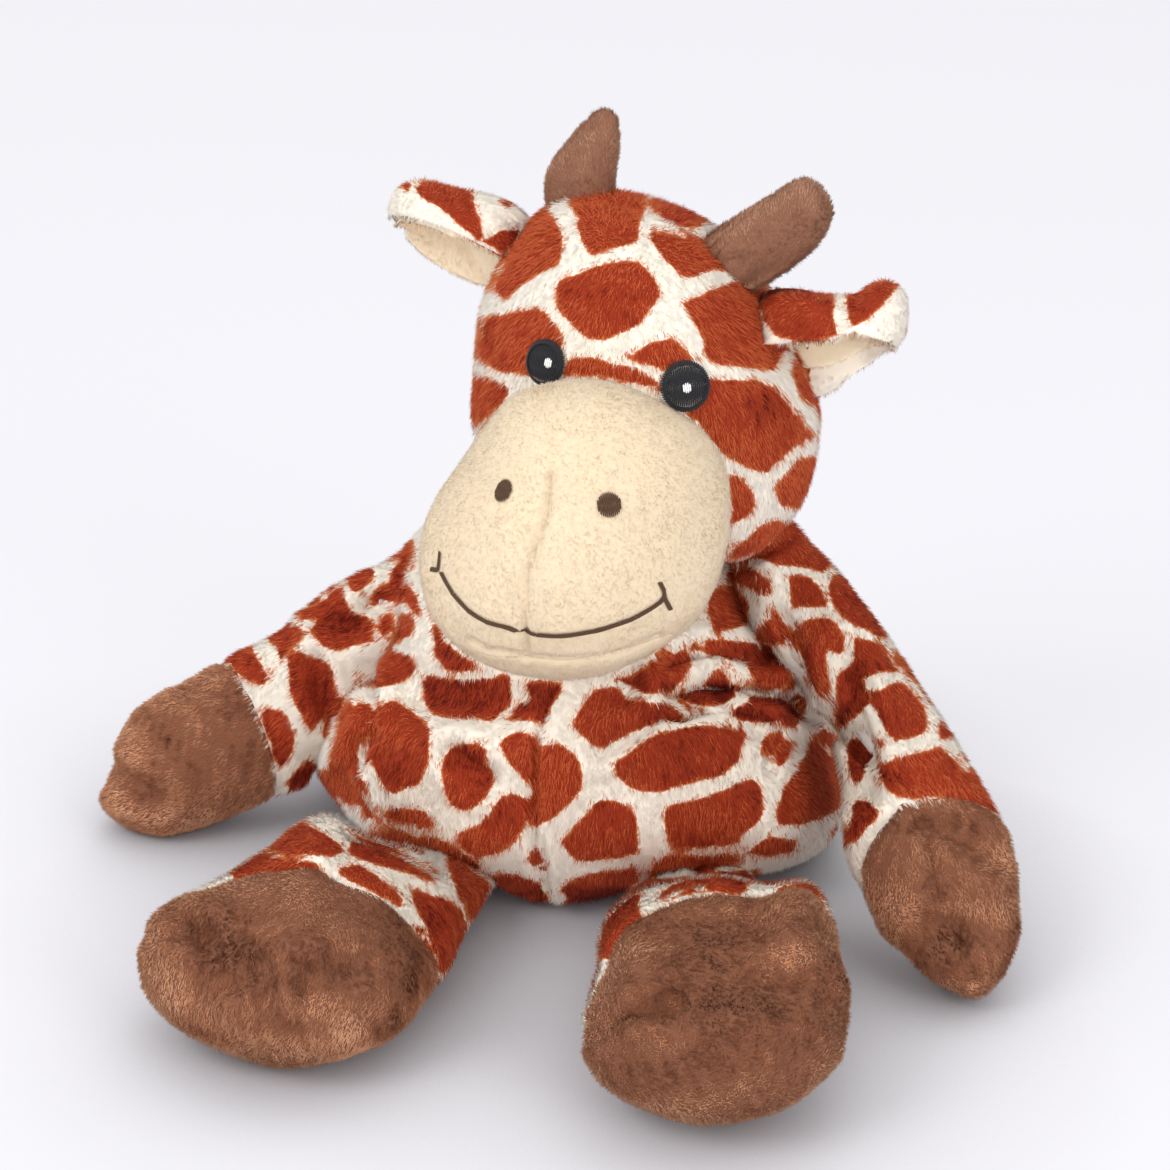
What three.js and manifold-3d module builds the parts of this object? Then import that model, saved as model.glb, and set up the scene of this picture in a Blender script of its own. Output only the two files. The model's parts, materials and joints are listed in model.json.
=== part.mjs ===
// A plush giraffe, sitting: giraffe-print covers over soft stuffing, brown hooves and horns, a beige muzzle and a
// seat weighted with pellets. Millimetres, +Z up. The toy faces -Y, and its own left side is +X.
import * as THREE from "three";
import Module from "manifold-3d";

const wasm = await Module();
wasm.setup();

// Driving sizes of the cloth, its seams and what moves.
const plush = 3; // cloth with its pile
const shortPlush = 2; // the thinner cloth of the muzzle and the ears
const seamGap = 0.3; // between pieces that are sewn or laid together
const turningGap = 0.5; // between pieces that turn past each other
const swingGap = 1.6; // round a limb that swings

// Driving sizes of the body.
const bodyWidth = 151;
const bodyFront = 66; // from the middle of the seat to the belly
const bodyBack = 57; // from the middle of the seat to the back
const bodyHeight = 103;
const pouchHeight = 30; // the pellets in the seat
const sideSeamTilt = 17; // degrees, how far the side seams lean forward at the seat

// Driving sizes of the head, the muzzle and the neck.
const headWidth = 96;
const headDepth = 95;
const headHeight = 100;
const headLift = 44; // the middle of the head above the top of the body
const headForward = 15;
const headSeamBehind = 3; // the seam over the top, behind the middle of the head
const headSideDistance = 19.5; // the head has slumped to the toy's left
const headNod = 6; // degrees
const headRoll = -4; // degrees
const headTurn = -4; // degrees
const neckWidth = 38;
const neckHeight = 24;
const nodBackDegrees = 12;
const nodForwardDegrees = 3;
const muzzleWidth = 81;
const muzzleFront = 38;
const muzzleBack = 36;
const muzzleHeight = 80;
const muzzleForward = 58; // from the middle of the head to the middle of the muzzle
const muzzleDrop = 12;
const muzzleSideDistance = 3;
const chinSeamHeight = 22; // above the bottom of the muzzle

// Driving sizes of the face's small pieces.
const eyeWidth = 12.5;
const eyeHeight = 2.6; // stands out of the cloth
const highlightWidth = 3;
const highlightHeight = 0.6;
const nostrilWidth = 5;
const nostrilLength = 6.5;
const nostrilHeight = 0.8;
const threadWidth = 1.5;

// Driving sizes of the horns and the ears.
const hornWidth = 21;
const hornLength = 30;
const hornRoot = 8; // the length of a horn that is drawn to inside the head
const earWidth = 38;
const earLength = 35;

// Driving sizes of the arms and the legs.
const armLength = 100;
const armWidth = 42;
const armThickness = 33;
const shoulderRadius = 17;
const legLength = 110;
const footWidth = 69;
const footHeight = 50;
const hipRadius = 13;

const radians = THREE.MathUtils.degToRad;
const at = (x, y, z) => new THREE.Vector3(x, y, z);
const half = (size) => size / 2;
const origin = at(0, 0, 0);

// A closed skin over a row of rings that all have the same number of points, with a pole at each end.
function skin(rings, firstPole, lastPole) {
  const sides = rings[0].length;
  const points = [firstPole, ...rings.flat(), lastPole];
  const last = points.length - 1;
  const corner = (ring, side) => 1 + ring * sides + (side % sides);
  const faces = [];
  for (let side = 0; side < sides; side++) {
    faces.push([0, corner(0, side + 1), corner(0, side)]);
    faces.push([last, corner(rings.length - 1, side), corner(rings.length - 1, side + 1)]);
    for (let ring = 0; ring < rings.length - 1; ring++) {
      faces.push([corner(ring, side), corner(ring, side + 1), corner(ring + 1, side + 1)]);
      faces.push([corner(ring, side), corner(ring + 1, side + 1), corner(ring + 1, side)]);
    }
  }
  const volume = faces.reduce(
    (sum, [a, b, c]) => sum + points[a].dot(points[b].clone().cross(points[c])),
    0,
  );
  const outward = volume > 0 ? faces : faces.map(([a, b, c]) => [a, c, b]);
  return new wasm.Manifold(
    new wasm.Mesh({
      numProp: 3,
      vertProperties: new Float32Array(points.flatMap((point) => point.toArray())),
      triVerts: new Uint32Array(outward.flat()),
    }),
  );
}

// The geometry that three.js draws, from a solid.
function geometryOf(solid) {
  const mesh = solid.getMesh();
  const geometry = new THREE.BufferGeometry();
  geometry.setAttribute("position", new THREE.BufferAttribute(mesh.vertProperties, 3));
  geometry.setIndex(new THREE.BufferAttribute(mesh.triVerts, 1));
  geometry.computeVertexNormals();
  return geometry;
}

const moved = (solid, matrix) => solid.transform(matrix.elements);
const joined = (solids) => solids.reduce((sum, solid) => sum.add(solid));
const cutBy = (solid, cutters) => cutters.reduce((rest, cutter) => rest.subtract(cutter), solid);
const largestPiece = (solid) =>
  solid.decompose().reduce((best, piece) => (piece.volume() > best.volume() ? piece : best));

// The inside of a cover is plainer than its outside.
const everySecond = (rows) => rows.filter((_, row) => row % 2 === 0);

// A stuffed form round an upright axis. Each row of its table gives a height and the half width, the front and the
// back there, as shares of the form's own sizes. Inset draws the whole skin in by that much, or out if negative.
function roundForm({ rowShares, width, front, back, height, skinSides, innerSides }, inset) {
  const [sides, rows] = inset > 0 ? [innerSides, everySecond(rowShares)] : [skinSides, rowShares];
  const tall = height - 2 * inset;
  const rings = rows.map(([heightShare, widthShare, frontShare, backShare]) =>
    Array.from({ length: sides }, (_, side) => {
      const turn = (2 * Math.PI * side) / sides;
      const [across, along] = [Math.cos(turn), Math.sin(turn)];
      const depth = along < 0 ? frontShare * front : backShare * back;
      return at(
        (widthShare * half(width) - inset) * across,
        (depth - inset) * along,
        inset + heightShare * tall,
      );
    }),
  );
  return skin(rings, at(0, 0, inset), at(0, 0, height - inset));
}

// A stuffed limb along a route from its joint, which is the limb's own origin. Each row of its table gives a place on
// the route and the half width and half thickness there, as shares.
function limbTube({ routeShares, rowShares, length, width, thickness, face, skinSides, innerSides }, inset) {
  const sides = inset > 0 ? innerSides : skinSides;
  const route = routeOf({ routeShares, length });
  const reach = 1 - Math.max(inset, 0) / route.getLength();
  const tip = route.getPointAt(1).addScaledVector(route.getTangentAt(1), -inset);
  const rings = rowShares.map(([alongShare, widthShare, thicknessShare]) => {
    const place = route.getPointAt(alongShare * reach);
    const ahead = route.getTangentAt(alongShare * reach);
    const across = ahead.clone().cross(face).normalize();
    const up = across.clone().cross(ahead).normalize();
    return Array.from({ length: sides }, (_, side) => {
      const turn = (2 * Math.PI * side) / sides;
      const wide = (widthShare * half(width) - inset) * Math.cos(turn);
      const thick = (thicknessShare * half(thickness) - inset) * Math.sin(turn);
      return place.clone().addScaledVector(across, wide).addScaledVector(up, thick);
    });
  });
  return skin(rings, route.getPointAt(0), tip);
}

const routeOf = ({ routeShares, length }) =>
  new THREE.CatmullRomCurve3(routeShares.map((share) => at(...share).multiplyScalar(length)));

// The whole limb starts inside a ball, the joint.
const limbForm = (limb, inset) => limbTube(limb, inset).add(ball(limb.rootRadius - inset));

// The room that a limb needs in what it is sewn to, over all of its swing: a socket, and its tube at each angle.
function limbRoom(limb, joint) {
  const plain = { ...limb, skinSides: swingSides };
  const turns = turnsAbout(origin, limb.liftAxis.clone().normalize().negate(), swings(limb.liftDegrees));
  const tubes = turns.map((turn) => moved(limbTube(plain, -swingGap), turn));
  return [ball(limb.rootRadius + swingGap), ...tubes].map((room) => room.translate(joint.toArray()));
}

// A ball round the origin.
function ball(radius) {
  const sides = 14;
  const bands = 7;
  const rings = Array.from({ length: bands - 1 }, (_, band) => {
    const tilt = (Math.PI * (band + 1)) / bands;
    return Array.from({ length: sides }, (_, side) => {
      const turn = (2 * Math.PI * side) / sides;
      return new THREE.Vector3().setFromSphericalCoords(radius, tilt, turn);
    });
  });
  return skin(rings, at(0, radius, 0), at(0, -radius, 0));
}

// A solid turned round the upright axis from pairs of radius and height, the first and the last on the axis.
function turnedForm(profile, sides) {
  const rings = profile.slice(1, -1).map(([radius, height]) =>
    Array.from({ length: sides }, (_, side) => {
      const turn = (2 * Math.PI * side) / sides;
      return at(radius * Math.cos(turn), radius * Math.sin(turn), height);
    }),
  );
  return skin(rings, at(0, 0, profile[0][1]), at(0, 0, profile.at(-1)[1]));
}

// A profile for it, from a table of shares of a radius and a height.
const profileOf = (rowShares, radius, height) =>
  rowShares.map(([radiusShare, heightShare]) => [radiusShare * radius, heightShare * height]);

// A round cord through some points, with a rounded end.
function cordForm(points, radius) {
  const route = new THREE.CatmullRomCurve3(points);
  const sides = 5;
  const steps = 2 * (points.length - 1);
  const frames = route.computeFrenetFrames(steps);
  const rings = Array.from({ length: steps + 1 }, (_, step) =>
    Array.from({ length: sides }, (_, side) => {
      const turn = (2 * Math.PI * side) / sides;
      return route
        .getPointAt(step / steps)
        .addScaledVector(frames.normals[step], radius * Math.cos(turn))
        .addScaledVector(frames.binormals[step], radius * Math.sin(turn));
    }),
  );
  const capped = (share, way) => route.getPointAt(share).addScaledVector(route.getTangentAt(share), way);
  return skin(rings, capped(0, -half(radius)), capped(1, half(radius)));
}

// Where a line from inside a solid leaves it, and the way the surface faces there.
function surfaceOf(solid) {
  const mesh = new THREE.Mesh(geometryOf(solid), new THREE.MeshBasicMaterial({ side: THREE.DoubleSide }));
  return (from, direction) => {
    const hit = new THREE.Raycaster(from, direction.clone().normalize()).intersectObject(mesh).at(-1);
    return { point: hit.point, normal: hit.face.normal.clone() };
  };
}

// The way from a middle out to a turn, in degrees from straight ahead towards +X, and a rise above level.
function wayTo(turnDegrees, riseDegrees) {
  const [turn, rise] = [radians(turnDegrees), radians(riseDegrees)];
  return at(Math.sin(turn) * Math.cos(rise), -Math.cos(turn) * Math.cos(rise), Math.sin(rise));
}

// The matrix that sets a form's own +Z along a direction, at a place.
function standing(place, direction) {
  const turn = new THREE.Quaternion().setFromUnitVectors(at(0, 0, 1), direction.clone().normalize());
  return new THREE.Matrix4().compose(place, turn, at(1, 1, 1));
}

// The matrices of a piece turned about a line through a place to each of some angles, in degrees.
function turnsAbout(place, axis, angles) {
  return angles.map((angle) =>
    new THREE.Matrix4()
      .makeTranslation(place)
      .multiply(new THREE.Matrix4().makeRotationAxis(axis, radians(angle)))
      .multiply(new THREE.Matrix4().makeTranslation(place.clone().negate())),
  );
}

// Body: a slumped bag, widest just above the floor and flat where the pellets rest on it.
const bodyShares = [
  [0, 0.74, 0.7, 0.76],
  [0.04, 0.89, 0.84, 0.9],
  [0.12, 0.98, 0.93, 0.98],
  [0.25, 1, 1, 1],
  [0.39, 0.98, 1, 1],
  [0.51, 0.92, 0.95, 0.97],
  [0.62, 0.85, 0.86, 0.91],
  [0.73, 0.75, 0.75, 0.82],
  [0.83, 0.62, 0.6, 0.68],
  [0.92, 0.43, 0.41, 0.48],
  [0.98, 0.22, 0.21, 0.25],
];
const body = {
  rowShares: bodyShares,
  width: bodyWidth,
  front: bodyFront,
  back: bodyBack,
  height: bodyHeight,
  skinSides: 24,
  innerSides: 16,
};

// Head: a full dome, a little narrower at the crown than at the cheeks.
const headShares = [
  [0.02, 0.3, 0.3, 0.3],
  [0.09, 0.58, 0.58, 0.58],
  [0.19, 0.83, 0.81, 0.79],
  [0.32, 0.97, 0.94, 0.93],
  [0.45, 1, 1, 0.99],
  [0.58, 0.99, 0.99, 1],
  [0.7, 0.91, 0.92, 0.93],
  [0.81, 0.76, 0.78, 0.79],
  [0.9, 0.55, 0.59, 0.6],
  [0.96, 0.36, 0.39, 0.4],
  [0.99, 0.19, 0.2, 0.2],
];
const head = {
  rowShares: headShares,
  width: headWidth,
  front: half(headDepth),
  back: half(headDepth),
  height: headHeight,
  skinSides: 22,
  innerSides: 14,
};

// Muzzle: fullest low down, where the mouth is.
const muzzleShares = [
  [0.02, 0.26, 0.26, 0.26],
  [0.09, 0.55, 0.55, 0.55],
  [0.2, 0.8, 0.8, 0.8],
  [0.33, 0.96, 0.95, 0.95],
  [0.46, 1, 1, 1],
  [0.6, 0.93, 0.97, 0.98],
  [0.73, 0.8, 0.87, 0.88],
  [0.85, 0.61, 0.69, 0.7],
  [0.94, 0.42, 0.45, 0.46],
  [0.985, 0.22, 0.22, 0.22],
];
const muzzle = {
  rowShares: muzzleShares,
  width: muzzleWidth,
  front: muzzleFront,
  back: muzzleBack,
  height: muzzleHeight,
  skinSides: 22,
  innerSides: 14,
};

// The head's own frame has its origin in the middle of the head.
const headRise = bodyHeight + headLift;
const headFrame = new THREE.Object3D();
headFrame.position.set(headSideDistance, -headForward, headRise);
headFrame.rotation.set(radians(headNod), radians(headRoll), radians(headTurn), "ZYX");
headFrame.updateMatrix();
const intoHead = headFrame.matrix.clone().invert();
const headMiddle = origin;
const muzzleMiddle = at(-muzzleSideDistance, -muzzleForward, -muzzleDrop);
const headForm = (inset) => roundForm(head, inset).translate([0, 0, -half(headHeight)]);
const muzzleForm = (inset) =>
  roundForm(muzzle, inset).translate([muzzleMiddle.x, muzzleMiddle.y, muzzleMiddle.z - half(muzzleHeight)]);

// Limbs. Their joints are given as shares of the body's half width, front and height, and their routes as shares of
// the limb's length, from the joint. They lie as they do on the floor, each in its own way.
const armRowShares = [
  [0.02, 0.74, 0.86],
  [0.2, 0.82, 0.92],
  [0.4, 0.93, 0.97],
  [0.58, 0.98, 0.98],
  [0.7, 1, 1],
  [0.82, 1.02, 1],
  [0.91, 0.86, 0.8],
  [0.97, 0.56, 0.5],
];
const legRowShares = [
  [0.02, 0.42, 0.46],
  [0.16, 0.56, 0.48],
  [0.32, 0.72, 0.6],
  [0.48, 0.83, 0.82],
  [0.62, 0.93, 0.95],
  [0.75, 1, 1],
  [0.86, 0.95, 0.92],
  [0.94, 0.74, 0.7],
  [0.985, 0.4, 0.38],
];
const arm = {
  rowShares: armRowShares,
  length: armLength,
  width: armWidth,
  thickness: armThickness,
  rootRadius: shoulderRadius,
  cuffShare: 0.64,
  liftDegrees: 70,
  skinSides: 14,
  innerSides: 8,
};
const leg = {
  rowShares: legRowShares,
  length: legLength,
  width: footWidth,
  thickness: footHeight,
  rootRadius: hipRadius,
  cuffShare: 0.56,
  liftDegrees: 30,
  skinSides: 14,
  innerSides: 8,
};
const limbs = {
  arm_left: {
    ...arm,
    jointShares: [0.64, 0.06, 0.84],
    routeShares: [
      [0, 0, 0],
      [0.25, -0.12, -0.18],
      [0.48, -0.38, -0.46],
      [0.64, -0.6, -0.69],
      [0.83, -0.69, -0.77],
    ],
    face: at(0, -1, 0.9),
    liftAxis: at(1, 0, 0),
  },
  arm_right: {
    ...arm,
    jointShares: [-0.62, 0.06, 0.66],
    routeShares: [
      [0, 0, 0],
      [-0.22, -0.08, -0.195],
      [-0.38, -0.16, -0.37],
      [-0.56, -0.22, -0.455],
      [-0.87, -0.28, -0.51],
    ],
    face: at(0.2, 1, 0.1),
    liftAxis: at(1, 0, 0),
  },
  leg_left: {
    ...leg,
    jointShares: [0.56, 0.6, 0.155],
    routeShares: [
      [0, 0, 0],
      [0.05, -0.3, 0.02],
      [0.13, -0.66, 0.085],
      [0.23, -1.09, 0.055],
    ],
    face: at(0, 0, 1),
    liftAxis: at(1, 0.2, 0),
  },
  leg_right: {
    ...leg,
    jointShares: [-0.32, 0.6, 0.15],
    routeShares: [
      [0, 0, 0],
      [-0.09, -0.3, 0.015],
      [-0.205, -0.62, 0.07],
      [-0.375, -1.01, 0.045],
    ],
    face: at(0, 0, 1),
    liftAxis: at(1, -0.38, 0),
  },
};

const jointOf = ({ jointShares: [side, front, up] }) =>
  at(side * half(bodyWidth), -front * bodyFront, up * bodyHeight);

// The angles and the sides at which a limb is cut out of what it is sewn to.
const swingSteps = 6;
const swingSides = 10;
const swings = (most) => Array.from({ length: swingSteps + 1 }, (_, step) => (most * step) / swingSteps);

function limbPieces(limb) {
  const joint = jointOf(limb);
  const route = routeOf(limb);
  const cuffAhead = route.getTangentAt(limb.cuffShare);
  const cuffPlace = route.getPointAt(limb.cuffShare).dot(cuffAhead);
  const aboveFloor = (inset) => limbForm(limb, inset).trimByPlane([0, 0, 1], inset - joint.z);
  const cover = aboveFloor(0).subtract(aboveFloor(plush));
  return {
    joint,
    sleeve: largestPiece(cover.trimByPlane(cuffAhead.clone().negate().toArray(), half(seamGap) - cuffPlace)),
    hoof: largestPiece(cover.trimByPlane(cuffAhead.toArray(), cuffPlace + half(seamGap))),
    stuffing: aboveFloor(plush + seamGap),
    room: limbRoom(limb, joint),
  };
}

const madeLimbs = Object.fromEntries(Object.entries(limbs).map(([name, limb]) => [name, limbPieces(limb)]));
const roomForLimbs = Object.values(madeLimbs).flatMap(({ room }) => room);

// Neck: turned round its own upright axis, with a round top that the head nods on. It leans half as far as the head.
const neckShares = [
  [0.8, -0.5],
  [0.9, -0.3],
  [1, 0],
  [0.87, 0.5],
  [0.5, 0.87],
];
const neckWaistShare = 0.8;
const neckLeanShare = 0.5;
const neckSinkShare = 0.5;
const neckTopRadius = half(neckWidth);
const neckJoint = at(
  headSideDistance * neckLeanShare,
  -headForward * neckLeanShare,
  headRise - half(headHeight) + neckTopRadius * neckSinkShare,
);
function neckForm(grow) {
  const rows = profileOf(neckShares, neckTopRadius, neckTopRadius);
  const foot = -neckHeight - grow;
  const profile = [
    [0, foot],
    [neckTopRadius * neckWaistShare + grow, foot],
    ...rows.map(([radius, height]) => [radius + grow, height]),
    [0, neckTopRadius + grow],
  ];
  return turnedForm(profile, 14);
}

// The neck as the head sees it, over all of the head's nod.
const nodSteps = 2;
const nods = Array.from(
  { length: nodSteps + 1 },
  (_, step) => nodBackDegrees - (step * (nodBackDegrees + nodForwardDegrees)) / nodSteps,
);
const neckNods = turnsAbout(origin, at(1, 0, 0), nods);
const roomInHead = neckNods.map((turn) => {
  const nodded = moved(neckForm(swingGap), turn).translate(neckJoint.toArray());
  return moved(nodded, intoHead);
});
const roomInBody = [...roomForLimbs, neckForm(turningGap).translate(neckJoint.toArray())];

// Torso covers: the shell of the body, split at the side seams and down the middle of the front.
const sideSeamWay = at(0, -Math.cos(radians(sideSeamTilt)), -Math.sin(radians(sideSeamTilt)));
const sideSeamPlace = sideSeamWay.dot(at(0, 0, bodyHeight));
const torsoShell = roundForm(body, 0).subtract(roundForm(body, plush));
const torsoFront = torsoShell.trimByPlane(sideSeamWay.toArray(), sideSeamPlace + half(seamGap));
const torsoCover = {
  torso_front_left: torsoFront.trimByPlane([1, 0, 0], half(seamGap)),
  torso_front_right: torsoFront.trimByPlane([-1, 0, 0], half(seamGap)),
  torso_back: torsoShell.trimByPlane(sideSeamWay.clone().negate().toArray(), half(seamGap) - sideSeamPlace),
};
const torsoFill = roundForm(body, plush + seamGap);
const stuffingOfTorso = torsoFill.trimByPlane([0, 0, 1], pouchHeight + half(seamGap));
const pouch = torsoFill.trimByPlane([0, 0, -1], half(seamGap) - pouchHeight);

// Head and muzzle covers, and the stuffing that runs through both.
const muzzleInner = muzzleForm(shortPlush);
const headShell = cutBy(headForm(0).subtract(headForm(plush)), [muzzleInner, ...roomInHead]);
const headFront = headShell.trimByPlane([0, -1, 0], half(seamGap) - headSeamBehind);
const headBack = headShell.trimByPlane([0, 1, 0], headSeamBehind + half(seamGap));
const muzzleCover = cutBy(muzzleForm(0), [muzzleInner, headForm(-seamGap)]);
const chinPlace = muzzleMiddle.z - half(muzzleHeight) + chinSeamHeight;
const muzzleUpper = muzzleCover.trimByPlane([0, 0, 1], chinPlace + half(seamGap));
const muzzleChin = muzzleCover.trimByPlane([0, 0, -1], half(seamGap) - chinPlace);
const headStuffing = cutBy(headForm(plush + seamGap).add(muzzleForm(shortPlush + seamGap)), roomInHead);

// Small pieces of the face, each seated on the cloth under it.
const onHead = surfaceOf(headForm(0));
const onMuzzle = surfaceOf(muzzleForm(0));
const raised = (place, lift) => place.point.clone().addScaledVector(place.normal, lift);
const clothCutters = [headForm(-seamGap), muzzleForm(-seamGap)];

const eyeShares = [
  [0, -1],
  [1, -1],
  [1, 0.6],
  [0.8, 0.85],
  [0, 1],
];
const dotShares = [
  [0, 0],
  [1, 0],
  [1, 1],
  [0, 1],
];
function eyePieces([turnDegrees, riseDegrees]) {
  const place = onHead(headMiddle, wayTo(turnDegrees, riseDegrees));
  const seat = standing(place.point, place.normal);
  const disc = turnedForm(profileOf(eyeShares, half(eyeWidth), eyeHeight), 24);
  const dot = turnedForm(profileOf(dotShares, half(highlightWidth), highlightHeight), 12).translate([
    0,
    0,
    eyeHeight + seamGap,
  ]);
  return { eye: largestPiece(cutBy(moved(disc, seat), clothCutters)), highlight: moved(dot, seat) };
}

const nostrilShares = [
  [0, -1],
  [1, -1],
  [0.9, 1],
  [0, 1.4],
];
function nostril([turnDegrees, riseDegrees]) {
  const place = onMuzzle(muzzleMiddle, wayTo(turnDegrees, riseDegrees));
  const stitched = turnedForm(profileOf(nostrilShares, half(nostrilWidth), nostrilHeight), 12).scale([
    1,
    nostrilLength / nostrilWidth,
    1,
  ]);
  return largestPiece(cutBy(moved(stitched, standing(place.point, place.normal)), clothCutters));
}

// The smile, as turns and rises from the middle of the muzzle, with a tick across each end.
const smileDegrees = [
  [-43, 2],
  [-33, -3],
  [-21, -6],
  [-8, -9],
  [5, -11],
  [18, -11],
  [31, -9],
  [42, -6.5],
  [51, -3.5],
];
const tickDegrees = {
  right: [
    [-47, 1],
    [-43, 2],
    [-42.5, 8],
  ],
  left: [
    [49.5, 2],
    [51, -3.5],
    [52.5, -8],
  ],
};
const threadAt = ([turn, rise]) =>
  raised(onMuzzle(muzzleMiddle, wayTo(turn, rise)), half(threadWidth) + seamGap);
const threads = [smileDegrees, tickDegrees.left, tickDegrees.right].map((row) =>
  cordForm(row.map(threadAt), half(threadWidth)),
);
const smile = largestPiece(cutBy(joined(threads), [muzzleForm(-seamGap)]));

// Horns: stuffed cones that stand on the crown, cut where they meet it. The left one is blunt, the right one thinner.
const horns = {
  horn_left: {
    way: [104, 50],
    lean: at(0.84, 0.1, 0.5),
    rowShares: [
      [1, 0.08],
      [0.85, 0.46],
      [0.73, 0.75],
      [0.5, 0.87],
      [0, 0.92],
    ],
  },
  horn_right: {
    way: [-129, 62],
    lean: at(0.42, 0.1, 0.9),
    rowShares: [
      [1, 0.08],
      [0.72, 0.5],
      [0.51, 0.82],
      [0.24, 0.96],
      [0, 1],
    ],
  },
};
function horn({ way, lean, rowShares }) {
  const place = onHead(headMiddle, wayTo(...way));
  const foot = [
    [0, -hornRoot],
    [half(hornWidth), -hornRoot],
  ];
  const cone = turnedForm([...foot, ...profileOf(rowShares, half(hornWidth), hornLength)], 16);
  return largestPiece(cutBy(moved(cone, standing(place.point, lean)), [headForm(-seamGap)]));
}

// Ears: a folded leaf, print cloth over a lining. Its sections are arcs that close up towards the tip.
const earShares = [
  [0, 0.72],
  [0.18, 0.92],
  [0.4, 1],
  [0.62, 0.92],
  [0.8, 0.7],
  [0.93, 0.4],
];
const earRootShare = 0.25;
function earLeaf({ place, ahead, face, cupDegrees }, sink, cloth) {
  const across = ahead.clone().cross(face).normalize();
  const up = across.clone().cross(ahead).normalize();
  const arcSteps = 8;
  const reach = earLength - sink;
  const rings = earShares.map(([alongShare, widthShare]) => {
    const radius = (widthShare * half(earWidth)) / Math.sin(radians(cupDegrees));
    const arc = (ring, way) =>
      Array.from({ length: arcSteps + 1 }, (_, step) => {
        const turn = radians(cupDegrees) * way * (1 - (2 * step) / arcSteps);
        return place
          .clone()
          .addScaledVector(ahead, alongShare * reach)
          .addScaledVector(across, ring * Math.sin(turn))
          .addScaledVector(up, ring * Math.cos(turn) - radius * Math.cos(radians(cupDegrees)));
      });
    return [...arc(radius - sink, 1), ...arc(radius - sink - cloth, -1)];
  });
  const tip = place.clone().addScaledVector(ahead, reach).addScaledVector(up, -sink - half(cloth));
  const root = place.clone().addScaledVector(up, earRootShare * earWidth);
  return skin(rings, root, tip);
}

const ears = {
  ear_left: {
    way: [96, 15],
    ahead: at(0.92, -0.34, 0.12),
    face: at(0, 0.66, 0.75),
    cupDegrees: 75,
  },
  ear_right: {
    way: [-99, 38],
    ahead: at(-0.94, 0.1, 0.3),
    face: at(0, 0.66, 0.75),
    cupDegrees: 75,
  },
};
const earFlapDegrees = 15;

function earPieces({ way, ahead, face, cupDegrees }) {
  const place = onHead(headMiddle, wayTo(...way));
  const leaf = { place: raised(place, turningGap), ahead: ahead.clone().normalize(), face, cupDegrees };
  const hinge = ahead.clone().cross(face).normalize();
  const room = turnsAbout(leaf.place, hinge, [-earFlapDegrees, 0, earFlapDegrees]).map((turn) =>
    moved(headForm(-turningGap), turn),
  );
  const cutLeaf = (sink) =>
    largestPiece(cutBy(earLeaf(leaf, sink, shortPlush), room)).translate(leaf.place.clone().negate().toArray());
  return { joint: leaf.place, outer: cutLeaf(0), lining: cutLeaf(shortPlush + seamGap) };
}

// Colours of the cloths and threads.
const cloth = (color, roughness = 0.95) => new THREE.MeshStandardMaterial({ color, roughness, metalness: 0 });
const printPlush = cloth(0xb5562f);
const creamPlush = cloth(0xeadfc8);
const muzzlePlush = cloth(0xeed6ab);
const hoofPlush = cloth(0x8a5c44);
const hornPlush = cloth(0x8c6148);
const brownThread = cloth(0x4a3426, 0.7);
const eyeThread = cloth(0x1c1c20, 0.6);
const whiteThread = cloth(0xf4f4f2, 0.7);
const fill = cloth(0xf2f0ea);
const pouchCloth = cloth(0xcfc8b8);

function piece(name, solid, material) {
  const mesh = new THREE.Mesh(geometryOf(solid), material);
  mesh.name = name;
  return mesh;
}

const torso = new THREE.Group();
for (const [name, panel] of Object.entries(torsoCover)) {
  torso.add(piece(name, largestPiece(cutBy(panel, roomInBody)), printPlush));
}
torso.add(piece("torso_stuffing", largestPiece(cutBy(stuffingOfTorso, roomInBody)), fill));
torso.add(piece("bean_pouch", largestPiece(cutBy(pouch, roomInBody)), pouchCloth));

const neckGroup = new THREE.Group();
neckGroup.position.copy(neckJoint);
neckGroup.add(piece("neck", neckForm(0), printPlush));

const headGroup = new THREE.Group();
headGroup.position.copy(headFrame.position);
headGroup.quaternion.copy(headFrame.quaternion);
headGroup.add(piece("head_front", largestPiece(headFront), printPlush));
headGroup.add(piece("head_back", largestPiece(headBack), printPlush));
headGroup.add(piece("head_stuffing", largestPiece(headStuffing), fill));
headGroup.add(piece("muzzle_upper", largestPiece(muzzleUpper), muzzlePlush));
headGroup.add(piece("muzzle_chin", largestPiece(muzzleChin), muzzlePlush));
headGroup.add(piece("smile_stitching", smile, brownThread));
const faceDegrees = {
  left: { eye: [33, 24.5], nostril: [38, 39.5] },
  right: { eye: [-16, 31.5], nostril: [-18, 44] },
};
for (const [side, { eye, nostril: nose }] of Object.entries(faceDegrees)) {
  const { eye: disc, highlight } = eyePieces(eye);
  headGroup.add(piece(`eye_${side}`, disc, eyeThread));
  headGroup.add(piece(`eye_highlight_${side}`, highlight, whiteThread));
  headGroup.add(piece(`nostril_${side}`, nostril(nose), brownThread));
}
for (const [name, made] of Object.entries(horns)) {
  headGroup.add(piece(name, horn(made), hornPlush));
}
for (const [name, ear] of Object.entries(ears)) {
  const { joint, outer, lining } = earPieces(ear);
  const earGroup = new THREE.Group();
  earGroup.position.copy(joint);
  earGroup.add(piece(`${name}_outer`, outer, printPlush));
  earGroup.add(piece(`${name}_lining`, lining, creamPlush));
  headGroup.add(earGroup);
}

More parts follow.
